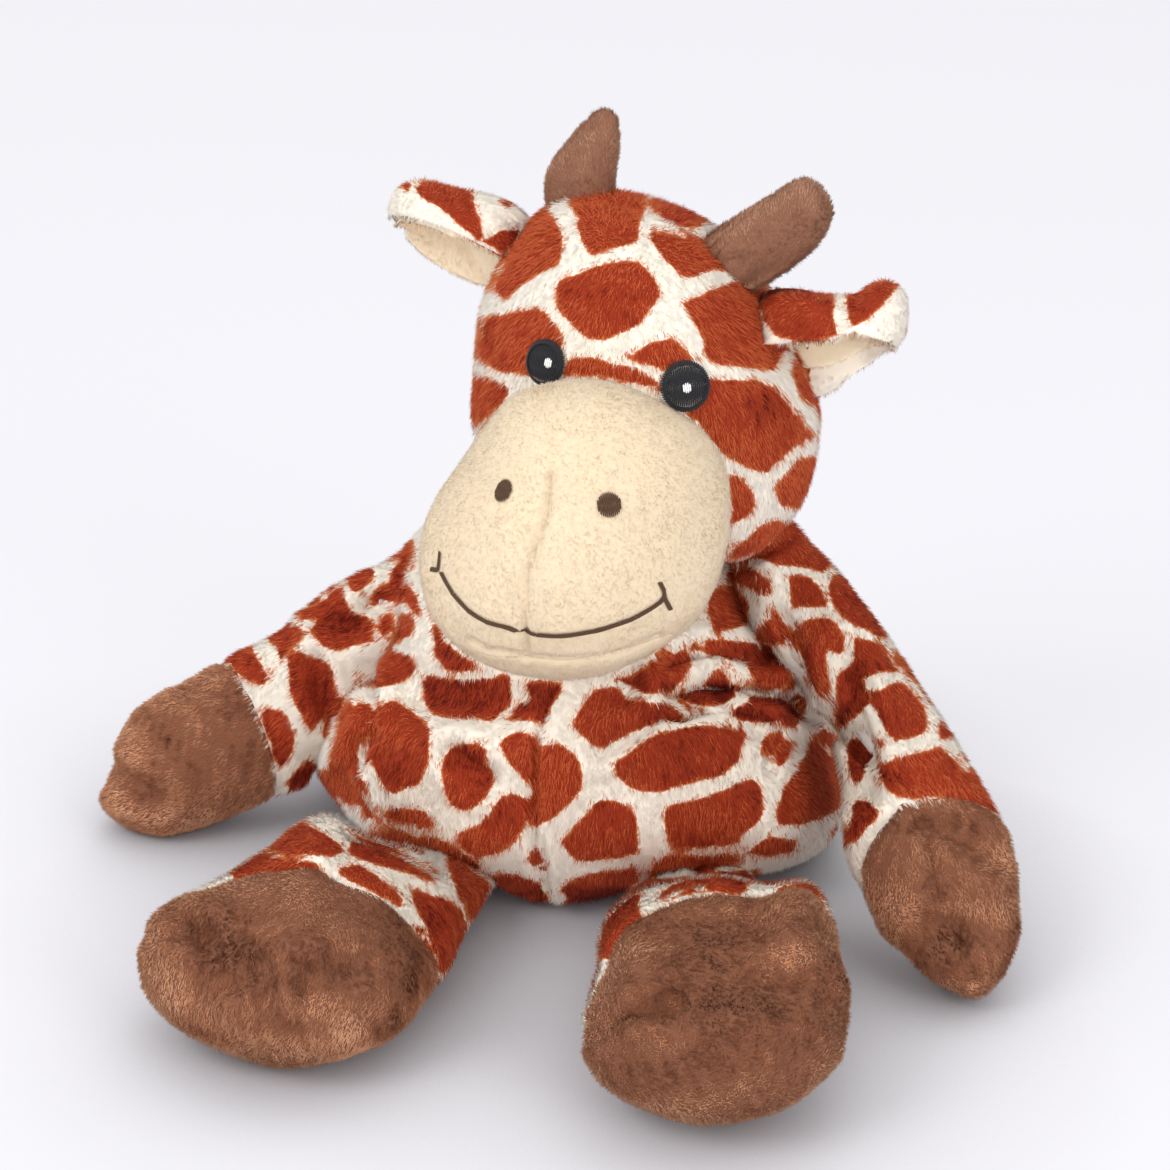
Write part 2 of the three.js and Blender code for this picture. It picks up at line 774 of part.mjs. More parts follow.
const toy = new THREE.Group();
toy.add(torso, neckGroup, headGroup);
for (const [name, { joint, sleeve, hoof, stuffing }] of Object.entries(madeLimbs)) {
  const limbGroup = new THREE.Group();
  limbGroup.position.copy(joint);
  limbGroup.add(piece(`${name}_sleeve`, sleeve, printPlush));
  limbGroup.add(piece(`${name}_hoof`, hoof, hoofPlush));
  limbGroup.add(piece(`${name}_stuffing`, stuffing, fill));
  toy.add(limbGroup);
}

// The origin is on the floor, in the middle of the toy's footprint.
const extent = new THREE.Box3().setFromObject(toy);
const middle = extent.getCenter(at(0, 0, 0));
toy.position.set(-middle.x, -middle.y, -extent.min.z);

export default toy;
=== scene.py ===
# A sitting plush giraffe: print plush over soft stuffing, brown hooves and horns, a beige muzzle and a stitched face.
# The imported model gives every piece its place. Lengths are in metres, the toy faces -Y, its own left is +X.
import json
import math

import bmesh
import bpy
import numpy as np
from mathutils import Matrix, Vector
from mathutils.bvhtree import BVHTree
from mathutils.kdtree import KDTree


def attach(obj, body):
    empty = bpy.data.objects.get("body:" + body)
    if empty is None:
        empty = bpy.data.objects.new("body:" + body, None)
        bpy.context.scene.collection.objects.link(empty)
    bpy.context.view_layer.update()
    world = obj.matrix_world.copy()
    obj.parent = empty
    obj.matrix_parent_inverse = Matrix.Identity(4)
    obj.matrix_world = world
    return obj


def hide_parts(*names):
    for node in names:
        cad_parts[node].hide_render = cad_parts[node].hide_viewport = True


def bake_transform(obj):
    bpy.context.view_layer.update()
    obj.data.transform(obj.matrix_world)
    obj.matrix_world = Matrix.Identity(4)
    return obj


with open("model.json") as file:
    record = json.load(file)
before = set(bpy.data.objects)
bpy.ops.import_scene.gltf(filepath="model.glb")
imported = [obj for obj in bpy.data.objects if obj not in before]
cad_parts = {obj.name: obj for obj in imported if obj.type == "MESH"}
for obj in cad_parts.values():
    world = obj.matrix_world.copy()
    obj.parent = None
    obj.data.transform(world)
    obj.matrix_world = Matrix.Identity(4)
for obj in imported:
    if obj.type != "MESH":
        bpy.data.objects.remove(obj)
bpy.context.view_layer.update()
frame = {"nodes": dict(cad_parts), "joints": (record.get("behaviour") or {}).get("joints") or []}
nodes = frame["nodes"]
MM = 0.001

# ---------------------------------------------------------------------------------------------------------------
# Camera. It looks down at the toy from a little to its left, as the photograph does. Places that were read off
# the photograph, in its own pixels, are brought to the toy through this same camera.
PHOTO_SIDE = 1170
FOCAL_PIXELS = 3664
SENSOR = 36
AZIMUTH, ELEVATION = math.radians(12), math.radians(28)
LOOKED_AT = np.array((0.00527, 0.03192, 0.085))
DISTANCE = 1.0

to_camera = np.array((math.sin(AZIMUTH) * math.cos(ELEVATION), -math.cos(AZIMUTH) * math.cos(ELEVATION),
                      math.sin(ELEVATION)))
camera_right = np.array((math.cos(AZIMUTH), math.sin(AZIMUTH), 0))
camera_up = np.cross(to_camera, camera_right)
camera_place = LOOKED_AT + DISTANCE * to_camera

camera = bpy.data.objects.new("camera", bpy.data.cameras.new("camera"))
camera.data.sensor_width = SENSOR
camera.data.lens = SENSOR * FOCAL_PIXELS / PHOTO_SIDE
camera.data.clip_start, camera.data.clip_end = 0.05, 20
camera.location = camera_place
camera.rotation_mode = "QUATERNION"
camera.rotation_quaternion = Vector(to_camera).to_track_quat("Z", "Y")
bpy.context.scene.collection.objects.link(camera)
bpy.context.scene.camera = camera


def in_photo(points):
    """Where points are in the photograph, in pixels, and how many pixels a millimetre is there."""
    away = points - camera_place
    depth = -away @ to_camera
    across = PHOTO_SIDE / 2 + FOCAL_PIXELS * (away @ camera_right) / depth
    down = PHOTO_SIDE / 2 - FOCAL_PIXELS * (away @ camera_up) / depth
    return np.stack((across, down), 1), FOCAL_PIXELS * MM / depth


def ray_through(pixel):
    """The direction from the camera through a place in the photograph."""
    across, down = (pixel[0] - PHOTO_SIDE / 2) / FOCAL_PIXELS, (PHOTO_SIDE / 2 - pixel[1]) / FOCAL_PIXELS
    return Vector(-to_camera + across * camera_right + down * camera_up).normalized()


# ---------------------------------------------------------------------------------------------------------------
# Torso. A slumped bag of print plush: two front panels, a back panel, loose stuffing, and a pouch of pellets in the
# seat. The cover is sewn inside out, so its seams are drawn in, and it folds where the head and the limbs press it.
PANEL_CLOTH = 1.2 * MM
PILE = 2.8 * MM
PILE_INSET = 0.6 * MM
TORSO_GRAIN, TORSO_ROUNDS = 2.2 * MM, 40
TORSO_LUMPS, TORSO_LUMP_SIZE = 1.1 * MM, 24 * MM
SEAM_WIDTH, SEAM_DEPTH = 2.2 * MM, 1.6 * MM
CLOTH_ABOVE_FLOOR = 0.4 * MM


def smooth_step(share):
    share = np.clip(share, 0, 1)
    return share * share * (3 - 2 * share)


def unit(ways):
    """Rows of directions, each of length 1."""
    return ways / np.linalg.norm(ways, axis=-1, keepdims=True)


def copies_of(*names):
    """Merged copies of some nodes' meshes."""
    bm = bmesh.new()
    for name in names:
        bm.from_mesh(nodes[name].data)
    bmesh.ops.remove_doubles(bm, verts=bm.verts, dist=0.001 * MM)
    return bm


def drawn_tight(bm):
    """A bag drawn tight over a mesh's points."""
    bmesh.ops.delete(bm, geom=bm.faces[:], context="FACES_ONLY")
    bmesh.ops.convex_hull(bm, input=bm.verts, use_existing_faces=False)
    bmesh.ops.delete(bm, geom=[e for e in bm.edges if not e.link_faces], context="EDGES")
    bmesh.ops.delete(bm, geom=[v for v in bm.verts if not v.link_faces], context="VERTS")
    return bm


def linked(name, mesh):
    obj = bpy.data.objects.new(name, mesh)
    bpy.context.scene.collection.objects.link(obj)
    return obj


def written(bm, mesh):
    bm.to_mesh(mesh)
    bm.free()
    return mesh


def mesh_of(name, bm):
    return written(bm, bpy.data.meshes.new(name))


def editable(mesh):
    bm = bmesh.new()
    bm.from_mesh(mesh)
    return bm


def applied(obj):
    """The mesh that an object's modifiers give. The object goes."""
    mesh = bpy.data.meshes.new_from_object(obj.evaluated_get(bpy.context.evaluated_depsgraph_get()))
    mesh.name = obj.name
    bpy.data.objects.remove(obj)
    return mesh


def values_of(items, name, width, kind=float):
    """One row of values for each of a mesh's items."""
    values = np.empty(len(items) * width, kind)
    items.foreach_get(name, values)
    return values.reshape(-1, width)


def places_of(mesh):
    return values_of(mesh.vertices, "co", 3)


def normals_of(mesh):
    return values_of(mesh.vertex_normals, "vector", 3)


def move_to(mesh, places):
    mesh.vertices.foreach_set("co", places.ravel())
    mesh.update()


def largest_island(bm):
    """Keeps the outer skin of a remeshed form and drops what the remesh left inside it."""
    left, islands = set(bm.verts), []
    while left:
        island, edge = set(), [next(iter(left))]
        while edge:
            vert = edge.pop()
            if vert in left:
                left.discard(vert)
                island.add(vert)
                edge.extend(e.other_vert(vert) for e in vert.link_edges)
        islands.append(island)
    kept = max(islands, key=len)
    bmesh.ops.delete(bm, geom=[v for v in bm.verts if v not in kept], context="VERTS")


def soft_form(name, bm, grain, rounds, inset):
    """A soft skin of even grain over a rough form, rounded, and drawn in so that the pile ends at the form."""
    obj = linked(name, mesh_of(name, bm))
    remesh = obj.modifiers.new("skin", "REMESH")
    remesh.mode, remesh.voxel_size = "VOXEL", grain
    rounding = obj.modifiers.new("rounding", "SMOOTH")
    rounding.factor, rounding.iterations = 0.5, rounds
    mesh = applied(obj)
    bm = editable(mesh)
    largest_island(bm)
    bmesh.ops.triangulate(bm, faces=bm.faces)
    bmesh.ops.recalc_face_normals(bm, faces=bm.faces)
    written(bm, mesh)
    move_to(mesh, places_of(mesh) - inset * normals_of(mesh))
    return mesh


WAVES, WAVES_HIGH = 9, 4


def lumps(places, size, seed):
    """Even, soft unevenness from about -1 to 1, with hills about as wide as size."""
    waves = np.random.default_rng(seed)
    total = np.zeros(len(places))
    for _ in range(WAVES):
        way = waves.normal(size=3)
        way *= math.pi / size / np.linalg.norm(way) * waves.uniform(0.6, 1.5)
        total += np.sin(places @ way + waves.uniform(0, 2 * math.pi))
    return total / WAVES_HIGH


def made_lumpy(mesh, height, size, seed):
    """Moves a form's skin in and out, as loose filling pushes it."""
    places = places_of(mesh)
    move_to(mesh, places + (height * lumps(places, size, seed))[:, None] * normals_of(mesh))


def set_on_floor(mesh):
    """Flattens the part of a form that would reach through the floor."""
    places = places_of(mesh)
    places[:, 2] = np.maximum(places[:, 2], CLOTH_ABOVE_FLOOR)
    move_to(mesh, places)


SKIN_GAP = 1 * MM


def seen(mesh, behind, graze):
    """Which points of a form the camera sees: they face it by more than graze, and no node whose name starts as in
    behind stands before them."""
    places, normals = places_of(mesh), normals_of(mesh)
    facing = normals @ to_camera > graze
    skin = BVHTree.FromBMesh(copies_of(*(name for name in nodes if name.startswith(behind))))
    start = places + SKIN_GAP * normals
    way = unit(camera_place - start)
    for i in np.flatnonzero(facing):
        facing[i] = skin.ray_cast(Vector(start[i]), Vector(way[i]))[0] is None
    return facing


def off_path(pixels, path):
    """How far places in the photograph are from a path drawn on it, in pixels."""
    nearest = np.full(len(pixels), np.inf)
    path = np.array(path, float)
    for a, b in zip(path[:-1], path[1:]):
        run = b - a
        share = np.clip(((pixels - a) @ run) / (run @ run), 0, 1)
        nearest = np.minimum(nearest, np.linalg.norm(pixels - a - share[:, None] * run, axis=1))
    return nearest


FACING_FADE = 0.4
RIDGE_OFF, RIDGE_WIDTH = 2, 0.9


def facing_share(normals, early):
    """How much of a crease or a shade shows, from 0 to 1: it fades where the skin turns away from the camera."""
    return smooth_step((normals @ to_camera + early) / FACING_FADE)


def crease(mesh, path, width, depth, ridge=0.4):
    """Presses a crease of the cloth in along a path in the photograph, with a soft ridge on both sides of it."""
    places, normals = places_of(mesh), normals_of(mesh)
    pixels, scale = in_photo(places)
    off = off_path(pixels, path) / scale * MM / width
    dent = np.exp(-off ** 2) - ridge * np.exp(-((off - RIDGE_OFF) / RIDGE_WIDTH) ** 2)
    move_to(mesh, places - (depth * facing_share(normals, 0.1) * dent)[:, None] * normals)


def crease_plane(mesh, origin, way, width, depth):
    """Draws a seam in where a plane cuts a form."""
    places, normals = places_of(mesh), normals_of(mesh)
    off = (places - np.array(origin)) @ np.array(way) / width
    move_to(mesh, places - (depth * np.exp(-off ** 2))[:, None] * normals)


OUTLINE_STEP = math.radians(3)
PILE_SHOWN = 0.9 * MM
RUN_POINTS = 40
SPREAD_ROUNDS, SPREAD_KEPT, EVEN_ROUNDS = 14, 0.95, 3


def blurred(ring):
    return (np.roll(ring, 1) + 2 * ring + np.roll(ring, -1)) / 4


def outline_fit(places, middle, outline):
    """The move that pushes and draws a form, in the plane of the photograph, until its outline lies where it was read
    off it. The outline is given round a middle place, and is open where something hides it."""
    def turned(pixels):
        away = pixels - np.array(middle, float)
        return np.arctan2(away[:, 1], away[:, 0]), np.linalg.norm(away, axis=1)

    path = np.array(outline, float)
    dense = np.vstack([a + (b - a) * np.linspace(0, 1, RUN_POINTS)[:, None] for a, b in zip(path[:-1], path[1:])])
    pixels, scale = in_photo(places)
    turns, reach = turned(pixels)
    read_turns, read_reach = turned(dense)
    count = round(2 * math.pi / OUTLINE_STEP)
    of_mesh, of_photo = ((((t + 2 * math.pi) / OUTLINE_STEP).astype(int)) % count for t in (turns, read_turns))
    own, read = np.zeros(count), np.zeros(count)
    np.maximum.at(own, of_mesh, reach)
    np.maximum.at(read, of_photo, read_reach)
    own = np.maximum(own, (np.roll(own, 1) + np.roll(own, -1)) / 2)
    known = (read > 0) & (own > 0)
    shown = PILE_SHOWN / MM * scale.mean()
    aim = np.where(known, (read - shown) / np.where(own > 0, own, 1), 1)
    ratio = aim
    for _ in range(SPREAD_ROUNDS):
        ratio = np.where(known, aim, 1 + SPREAD_KEPT * (blurred(ratio) - 1))
    for _ in range(EVEN_ROUNDS):
        ratio = blurred(ratio)

    def fitted(places):
        pixels, scale = in_photo(places)
        turns, _ = turned(pixels)
        at = (turns % (2 * math.pi)) / OUTLINE_STEP - 0.5
        low = np.floor(at).astype(int)
        grow = ratio[low % count] + (ratio[(low + 1) % count] - ratio[low % count]) * (at - low)
        move = (pixels - np.array(middle, float)) * (grow - 1)[:, None] / scale[:, None] * MM
        return places + move[:, :1] * camera_right - move[:, 1:] * camera_up

    return fitted


def fit_outline(mesh, middle, outline):
    """Fits a form to its outline. The move is given back for what lies inside the form."""
    fitted = outline_fit(places_of(mesh), middle, outline)
    move_to(mesh, fitted(places_of(mesh)))
    return fitted


FOLD_DEPTH = 1.15


def skin_of(mesh):
    return BVHTree.FromPolygons([v.co.copy() for v in mesh.vertices], [tuple(p.vertices) for p in mesh.polygons])


def sewn_in(places, skin, pull, reach, root=None, near=1.0):
    """Draws the root of a soft form in to the skin that it is sewn to: what is less than reach away from the skin,
    and less than near away from the root."""
    drawn = places.copy()
    close = range(len(places))
    if root is not None:
        close = np.flatnonzero(np.linalg.norm(places - root, axis=1) < near)
    for i in close:
        met, normal, _, away = skin.find_nearest(Vector(places[i]))
        if away < reach and (Vector(places[i]) - met).dot(normal) > 0:
            share = 1 - smooth_step(away / reach)
            if root is not None:
                share *= 1 - smooth_step(np.linalg.norm(places[i] - root) / near)
            drawn[i] -= np.array(normal) * pull * share
    return drawn


def buried_in(*skins, deep=2.5 * MM, also=None):
    """The rule for which roots of pile are left bare: those deep inside another form, where no fibre would show."""
    def bare(roots):
        found = also(roots) if also else np.zeros(len(roots), bool)
        for i, root in enumerate(roots):
            for skin in skins:
                met, normal, _, away = skin.find_nearest(Vector(root))
                found[i] |= away > deep and (Vector(root) - met).dot(normal) < 0
        return found

    return bare


def pressed(mesh, creases):
    """Presses in a form's creases. Each is its width and its depth in millimetres, and its path in the photograph."""
    for width, depth, *path in creases:
        crease(mesh, path, width * MM, FOLD_DEPTH * depth * MM)


# Pile painted darker or lighter at listed spots: partly its brushed nap, partly painted shade and painted light.
NAP_AND_SHADE_DEPTH = 1.5


def nap_and_shade_at(places, normals, spots):
    """How much darker, in shades, pile is painted at some places: partly for its brushed nap, partly as painted shade
    in hollows and painted light on lit sides. Each spot is its place in the photograph, how far it reaches across and
    down, and its shades."""
    pixels, _ = in_photo(places)
    shade = np.zeros(len(places))
    for across, down, wide, tall, shades in spots:
        off = ((pixels[:, 0] - across) / wide) ** 2, ((pixels[:, 1] - down) / tall) ** 2
        shade += NAP_AND_SHADE_DEPTH * shades * np.exp(-off[0] - off[1])
    return shade * facing_share(normals, 0.2)


SEAM_GAP = 0.45 * MM


def seam_between(first, second):
    """The middle of the flat seam between two nodes, and the way from the first across it to the second."""
    near, far = (places_of(nodes[name].data) for name in (first, second))
    tree = KDTree(len(near))
    for i, place in enumerate(near):
        tree.insert(place, i)
    tree.balance()
    rim = np.array([place for place in far if tree.find(place)[2] < SEAM_GAP])
    middle = rim.mean(0)
    way = np.linalg.svd(rim - middle, full_matrices=False)[2][2]
    return middle, way * np.sign((far.mean(0) - middle) @ way)


def cut_panel(name, mesh, cuts):
    """The part of a form on the far side of some planes, each given as a place and a direction."""
    bm = editable(mesh)
    for origin, way in cuts:
        bmesh.ops.bisect_plane(bm, geom=bm.verts[:] + bm.edges[:] + bm.faces[:], plane_co=origin, plane_no=way,
                               clear_inner=True)
    bmesh.ops.triangulate(bm, faces=bm.faces)
    return mesh_of(name, bm)


def cloth_piece(name, mesh, material, body, stands_for, bends=None, wall=PANEL_CLOTH):
    """A panel of cloth with its wall on the inside, as a piece of the toy."""
    obj = linked(name, mesh.copy())
    if wall:
        solid = obj.modifiers.new("wall", "SOLIDIFY")
        solid.thickness, solid.offset, solid.use_even_offset = wall, -1, False
        obj = linked(name, applied(obj))
    finish_piece(obj, [material], body, bends)
    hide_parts(*stands_for)


def finish_piece(obj, materials, body, bends=None):
    for material in materials:
        obj.data.materials.append(material)
    obj.data.polygons.foreach_set("use_smooth", np.ones(len(obj.data.polygons), bool))
    if bends:
        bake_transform(obj)
    else:
        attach(obj, body)


PATCH_REACH = 60.0


def depth_in_patches(pixels, outlines):
    """How deep places in the photograph are in a patch of the print, in pixels, or less than 0 outside all."""
    depth = np.full(len(pixels), -PATCH_REACH)
    for outline in outlines:
        corners = np.array(outline, float).reshape(-1, 2)
        near = np.all((pixels > corners.min(0) - PATCH_REACH) & (pixels < corners.max(0) + PATCH_REACH), axis=1)
        places = pixels[near]
        inside = np.zeros(len(places), bool)
        for a, b in zip(corners, np.roll(corners, -1, 0)):
            crosses = (a[1] > places[:, 1]) != (b[1] > places[:, 1])
            at = a[0] + (places[:, 1] - a[1]) / (b[1] - a[1] or 1) * (b[0] - a[0])
            inside ^= crosses & (places[:, 0] < at)
        off = off_path(places, np.vstack((corners, corners[:1])))
        depth[near] = np.maximum(depth[near], np.where(inside, off, -off))
    return depth


CELL, CELL_GAP = 25 * MM, 6 * MM
BAND, EDGE_BAND = 5.5 * MM, 1 * MM
ROUNDING = 2.5 * MM
EDGE_WRAP, WRAP_OVER = 8, 0.6
PATCH_ROUNDS, PATCH_KEPT = 5, 0.3
WOBBLE, WOBBLE_SIZE = 0.35 * MM, 4 * MM


def print_elsewhere(places, away, carried, seed):
    """The print where the photograph shows none: what reaches over from its last patches, and others of their kind
    round scattered middles. Depths and distances are in metres."""
    middles = []
    for i in np.random.default_rng(seed).permutation(len(places)):
        if away[i] > CELL_GAP and all(np.linalg.norm(places[i] - middle) > CELL for middle in middles):
            middles.append(places[i])
    if len(middles) < 2:
        return carried
    middles = np.array(middles)
    off = ((places[:, None] - middles[None]) ** 2).sum(2)
    own = off.argmin(1)
    rows = np.arange(len(places))
    span = np.linalg.norm(middles[own][:, None] - middles[None], axis=2)
    span[rows, own] = 1
    border = (off - off[rows, own][:, None]) / (2 * span)
    border[rows, own] = 1
    cell = -ROUNDING * np.log(np.exp(-border / ROUNDING).sum(1)) - BAND / 2
    cell = np.minimum(cell, -carried - BAND)
    return np.maximum(carried, np.minimum(cell, away - EDGE_BAND))


def print_patches(mesh, outlines, behind, seed, graze=0.08):
    """Prints the cloth: the patches that the photograph shows, and others of their kind where it shows none. Each
    point keeps how deep in a patch it is, in millimetres, or less than 0 on the cream between them."""
    places, shown = places_of(mesh), seen(mesh, behind, graze)
    pixels, scale = in_photo(places)
    normals = normals_of(mesh)
    inward = -EDGE_WRAP * smooth_step(1 - normals @ to_camera / WRAP_OVER)[:, None]
    pixels += inward * np.stack((normals @ camera_right, -normals @ camera_up), 1)
    depth = depth_in_patches(pixels, outlines) / scale * MM
    tree = KDTree(int(shown.sum()) or 1)
    for i in np.flatnonzero(shown):
        tree.insert(places[i], int(i))
    tree.balance()
    hidden = np.flatnonzero(~shown)
    if len(hidden):
        found = [tree.find(places[i]) for i in hidden] if shown.any() else []
        away = np.array([f[2] for f in found]) if found else np.full(len(hidden), 1.0)
        carried = depth[[f[1] for f in found]] - away if found else np.full(len(hidden), -1.0)
        depth[hidden] = print_elsewhere(places[hidden], away, carried, seed)
    ends = values_of(mesh.edges, "vertices", 2, int)
    shares = np.bincount(ends.ravel(), minlength=len(places))
    for _ in range(PATCH_ROUNDS):
        total = (np.bincount(ends[:, 0], depth[ends[:, 1]], len(places))
                 + np.bincount(ends[:, 1], depth[ends[:, 0]], len(places)))
        depth = np.where(shown, depth, PATCH_KEPT * depth + (1 - PATCH_KEPT) * total / np.maximum(shares, 1))
    depth += WOBBLE * lumps(places, WOBBLE_SIZE, seed)
    attribute = mesh.attributes.get("patch") or mesh.attributes.new("patch", "FLOAT", "POINT")
    attribute.data.foreach_set("value", (depth / MM).astype(np.float32))


def linear(*levels):
    """A colour as it is seen on a screen, 0 to 255, as the light that the shader takes."""
    return tuple(((x / 255 + 0.055) / 1.055) ** 2.4 if x > 10 else x / 255 / 12.92 for x in levels)


def shader(name, colour, roughness=0.9, sheen=0.0):
    """Matt cloth or thread of one colour."""
    material = bpy.data.materials.new(name)
    material.use_nodes = True
    cloth = material.node_tree.nodes["Principled BSDF"]
    cloth.inputs["Base Color"].default_value = (*linear(*colour), 1)
    cloth.inputs["Roughness"].default_value = roughness
    cloth.inputs["Specular IOR Level"].default_value = 0.2
    cloth.inputs["Sheen Weight"].default_value = sheen
    cloth.inputs["Sheen Roughness"].default_value = 0.5
    return material


def shades_of(name, *tints):
    return [shader(f"{name}_{i}", tint) for i, tint in enumerate(tints)]


CREAM, RUST, RUST_EDGE = (250, 240, 222), (146, 48, 21), (196, 104, 52)
KNIT_SCALE, KNIT_WOBBLE = 900, 1.2
PATCH_FROM, PATCH_TO = -1.4, 2.6


def print_cloth():
    """The knitted ground under the pile, printed with the patches."""
    material = shader("print_cloth", CREAM)
    tree = material.node_tree
    new = tree.nodes.new
    patch, noise, warp, spread, ramp = (new("ShaderNodeAttribute"), new("ShaderNodeTexNoise"), new("ShaderNodeMath"),
                                        new("ShaderNodeMapRange"), new("ShaderNodeValToRGB"))
    where = new("ShaderNodeTexCoord")
    patch.attribute_name = "patch"
    noise.inputs["Scale"].default_value = KNIT_SCALE
    warp.operation = "MULTIPLY_ADD"
    warp.inputs[1].default_value = KNIT_WOBBLE
    spread.inputs["From Min"].default_value, spread.inputs["From Max"].default_value = PATCH_FROM, PATCH_TO
    for stop, shade_of in ((0.42, CREAM), (0.5, RUST_EDGE), (0.62, RUST)):
        element = ramp.color_ramp.elements.new(stop)
        element.color = (*linear(*shade_of), 1)
    ramp.color_ramp.elements.remove(ramp.color_ramp.elements[0])
    ramp.color_ramp.elements.remove(ramp.color_ramp.elements[-1])
    for a, b in ((where.outputs["Object"], noise.inputs["Vector"]), (noise.outputs["Fac"], warp.inputs[0]),
                 (patch.outputs["Fac"], warp.inputs[2]), (warp.outputs[0], spread.inputs["Value"]),
                 (spread.outputs[0], ramp.inputs["Fac"]),
                 (ramp.outputs["Color"], tree.nodes["Principled BSDF"].inputs["Base Color"])):
        tree.links.new(a, b)
    return material


PRINT_CLOTH = print_cloth()
PRINT_PILE = shades_of("print_pile", (255, 247, 234), (250, 240, 222), (220, 128, 72), (210, 97, 55), (184, 68, 38),
                       (108, 26, 12))
FIRST_EDGE, FIRST_RUST, LAST_SHADE = 2, 3, 5
PATCH_GROWS, EDGE_UNEVEN, BRIGHT_EDGE = 0.75, 0.25, 0.85
CREAM_SHARE, CREAM_CLOUDS, RUST_MIDDLE, RUST_SPECKLE, EDGE_SHARE = 0.4, 0.3, 1.1, 1.1, 0.8


def print_shade(depth, mottle, chance):
    """Which of the print's shades each fibre has: two creams, two of the patch's brighter edge, or its rusts."""
    depth = depth + PATCH_GROWS + chance.normal(0, EDGE_UNEVEN, len(depth))
    pick = chance.random(len(depth))
    cream = (pick < CREAM_SHARE + CREAM_CLOUDS * mottle).astype(int)
    rust = (RUST_MIDDLE + mottle + RUST_SPECKLE * (pick - 0.5)).astype(int)
    rust = FIRST_RUST + np.clip(rust, 0, LAST_SHADE - FIRST_RUST)
    edge = np.where(pick < EDGE_SHARE, FIRST_EDGE, FIRST_RUST)
    return np.where(depth < 0, cream, np.where(depth < BRIGHT_EDGE, edge, rust))


def fibre():
    """One fibre of pile: a tapered spike of unit size, open at its root."""
    bm = bmesh.new()
    bmesh.ops.create_cone(bm, cap_ends=False, segments=3, radius1=1, radius2=0, depth=1)
    bmesh.ops.remove_doubles(bm, verts=bm.verts, dist=0.001)
    bmesh.ops.translate(bm, verts=bm.verts, vec=(0, 0, 0.5))
    bmesh.ops.triangulate(bm, faces=bm.faces)
    mesh = mesh_of("fibre", bm)
    corners = np.array([tuple(p.vertices) for p in mesh.polygons])
    places = places_of(mesh)
    bpy.data.meshes.remove(mesh)
    return places, corners


FIBRE_PLACES, FIBRE_CORNERS = fibre()
MOST_FIBRES = 43500
ROOT_DEPTH, TIP_ABOVE_FLOOR = 0.3 * MM, 0.05 * MM
SHORTEST, LONGEST, THINNEST, THICKEST = 0.75, 1.15, 0.8, 1.2
SWIRL, SWIRL_SIZE = 0.2, 14 * MM
CLOUDS, CLOUD_SIZE = 0.6, 9 * MM
LOCKS, LOCK_SIZE, LOCK_SHAPE = 0.55, 1.8 * MM, (1, 1, 0.4)
TIP_CARRY = 0.6
STRAY_NAP, LEAST_NAP, STRAY = 0.15, 0.4, 0.2
# How narrow the painted sheen is on rims seen edge-on from the camera.
SHEEN_RIM_NARROW = 1.8
LIT_BY_WAY = 0.15


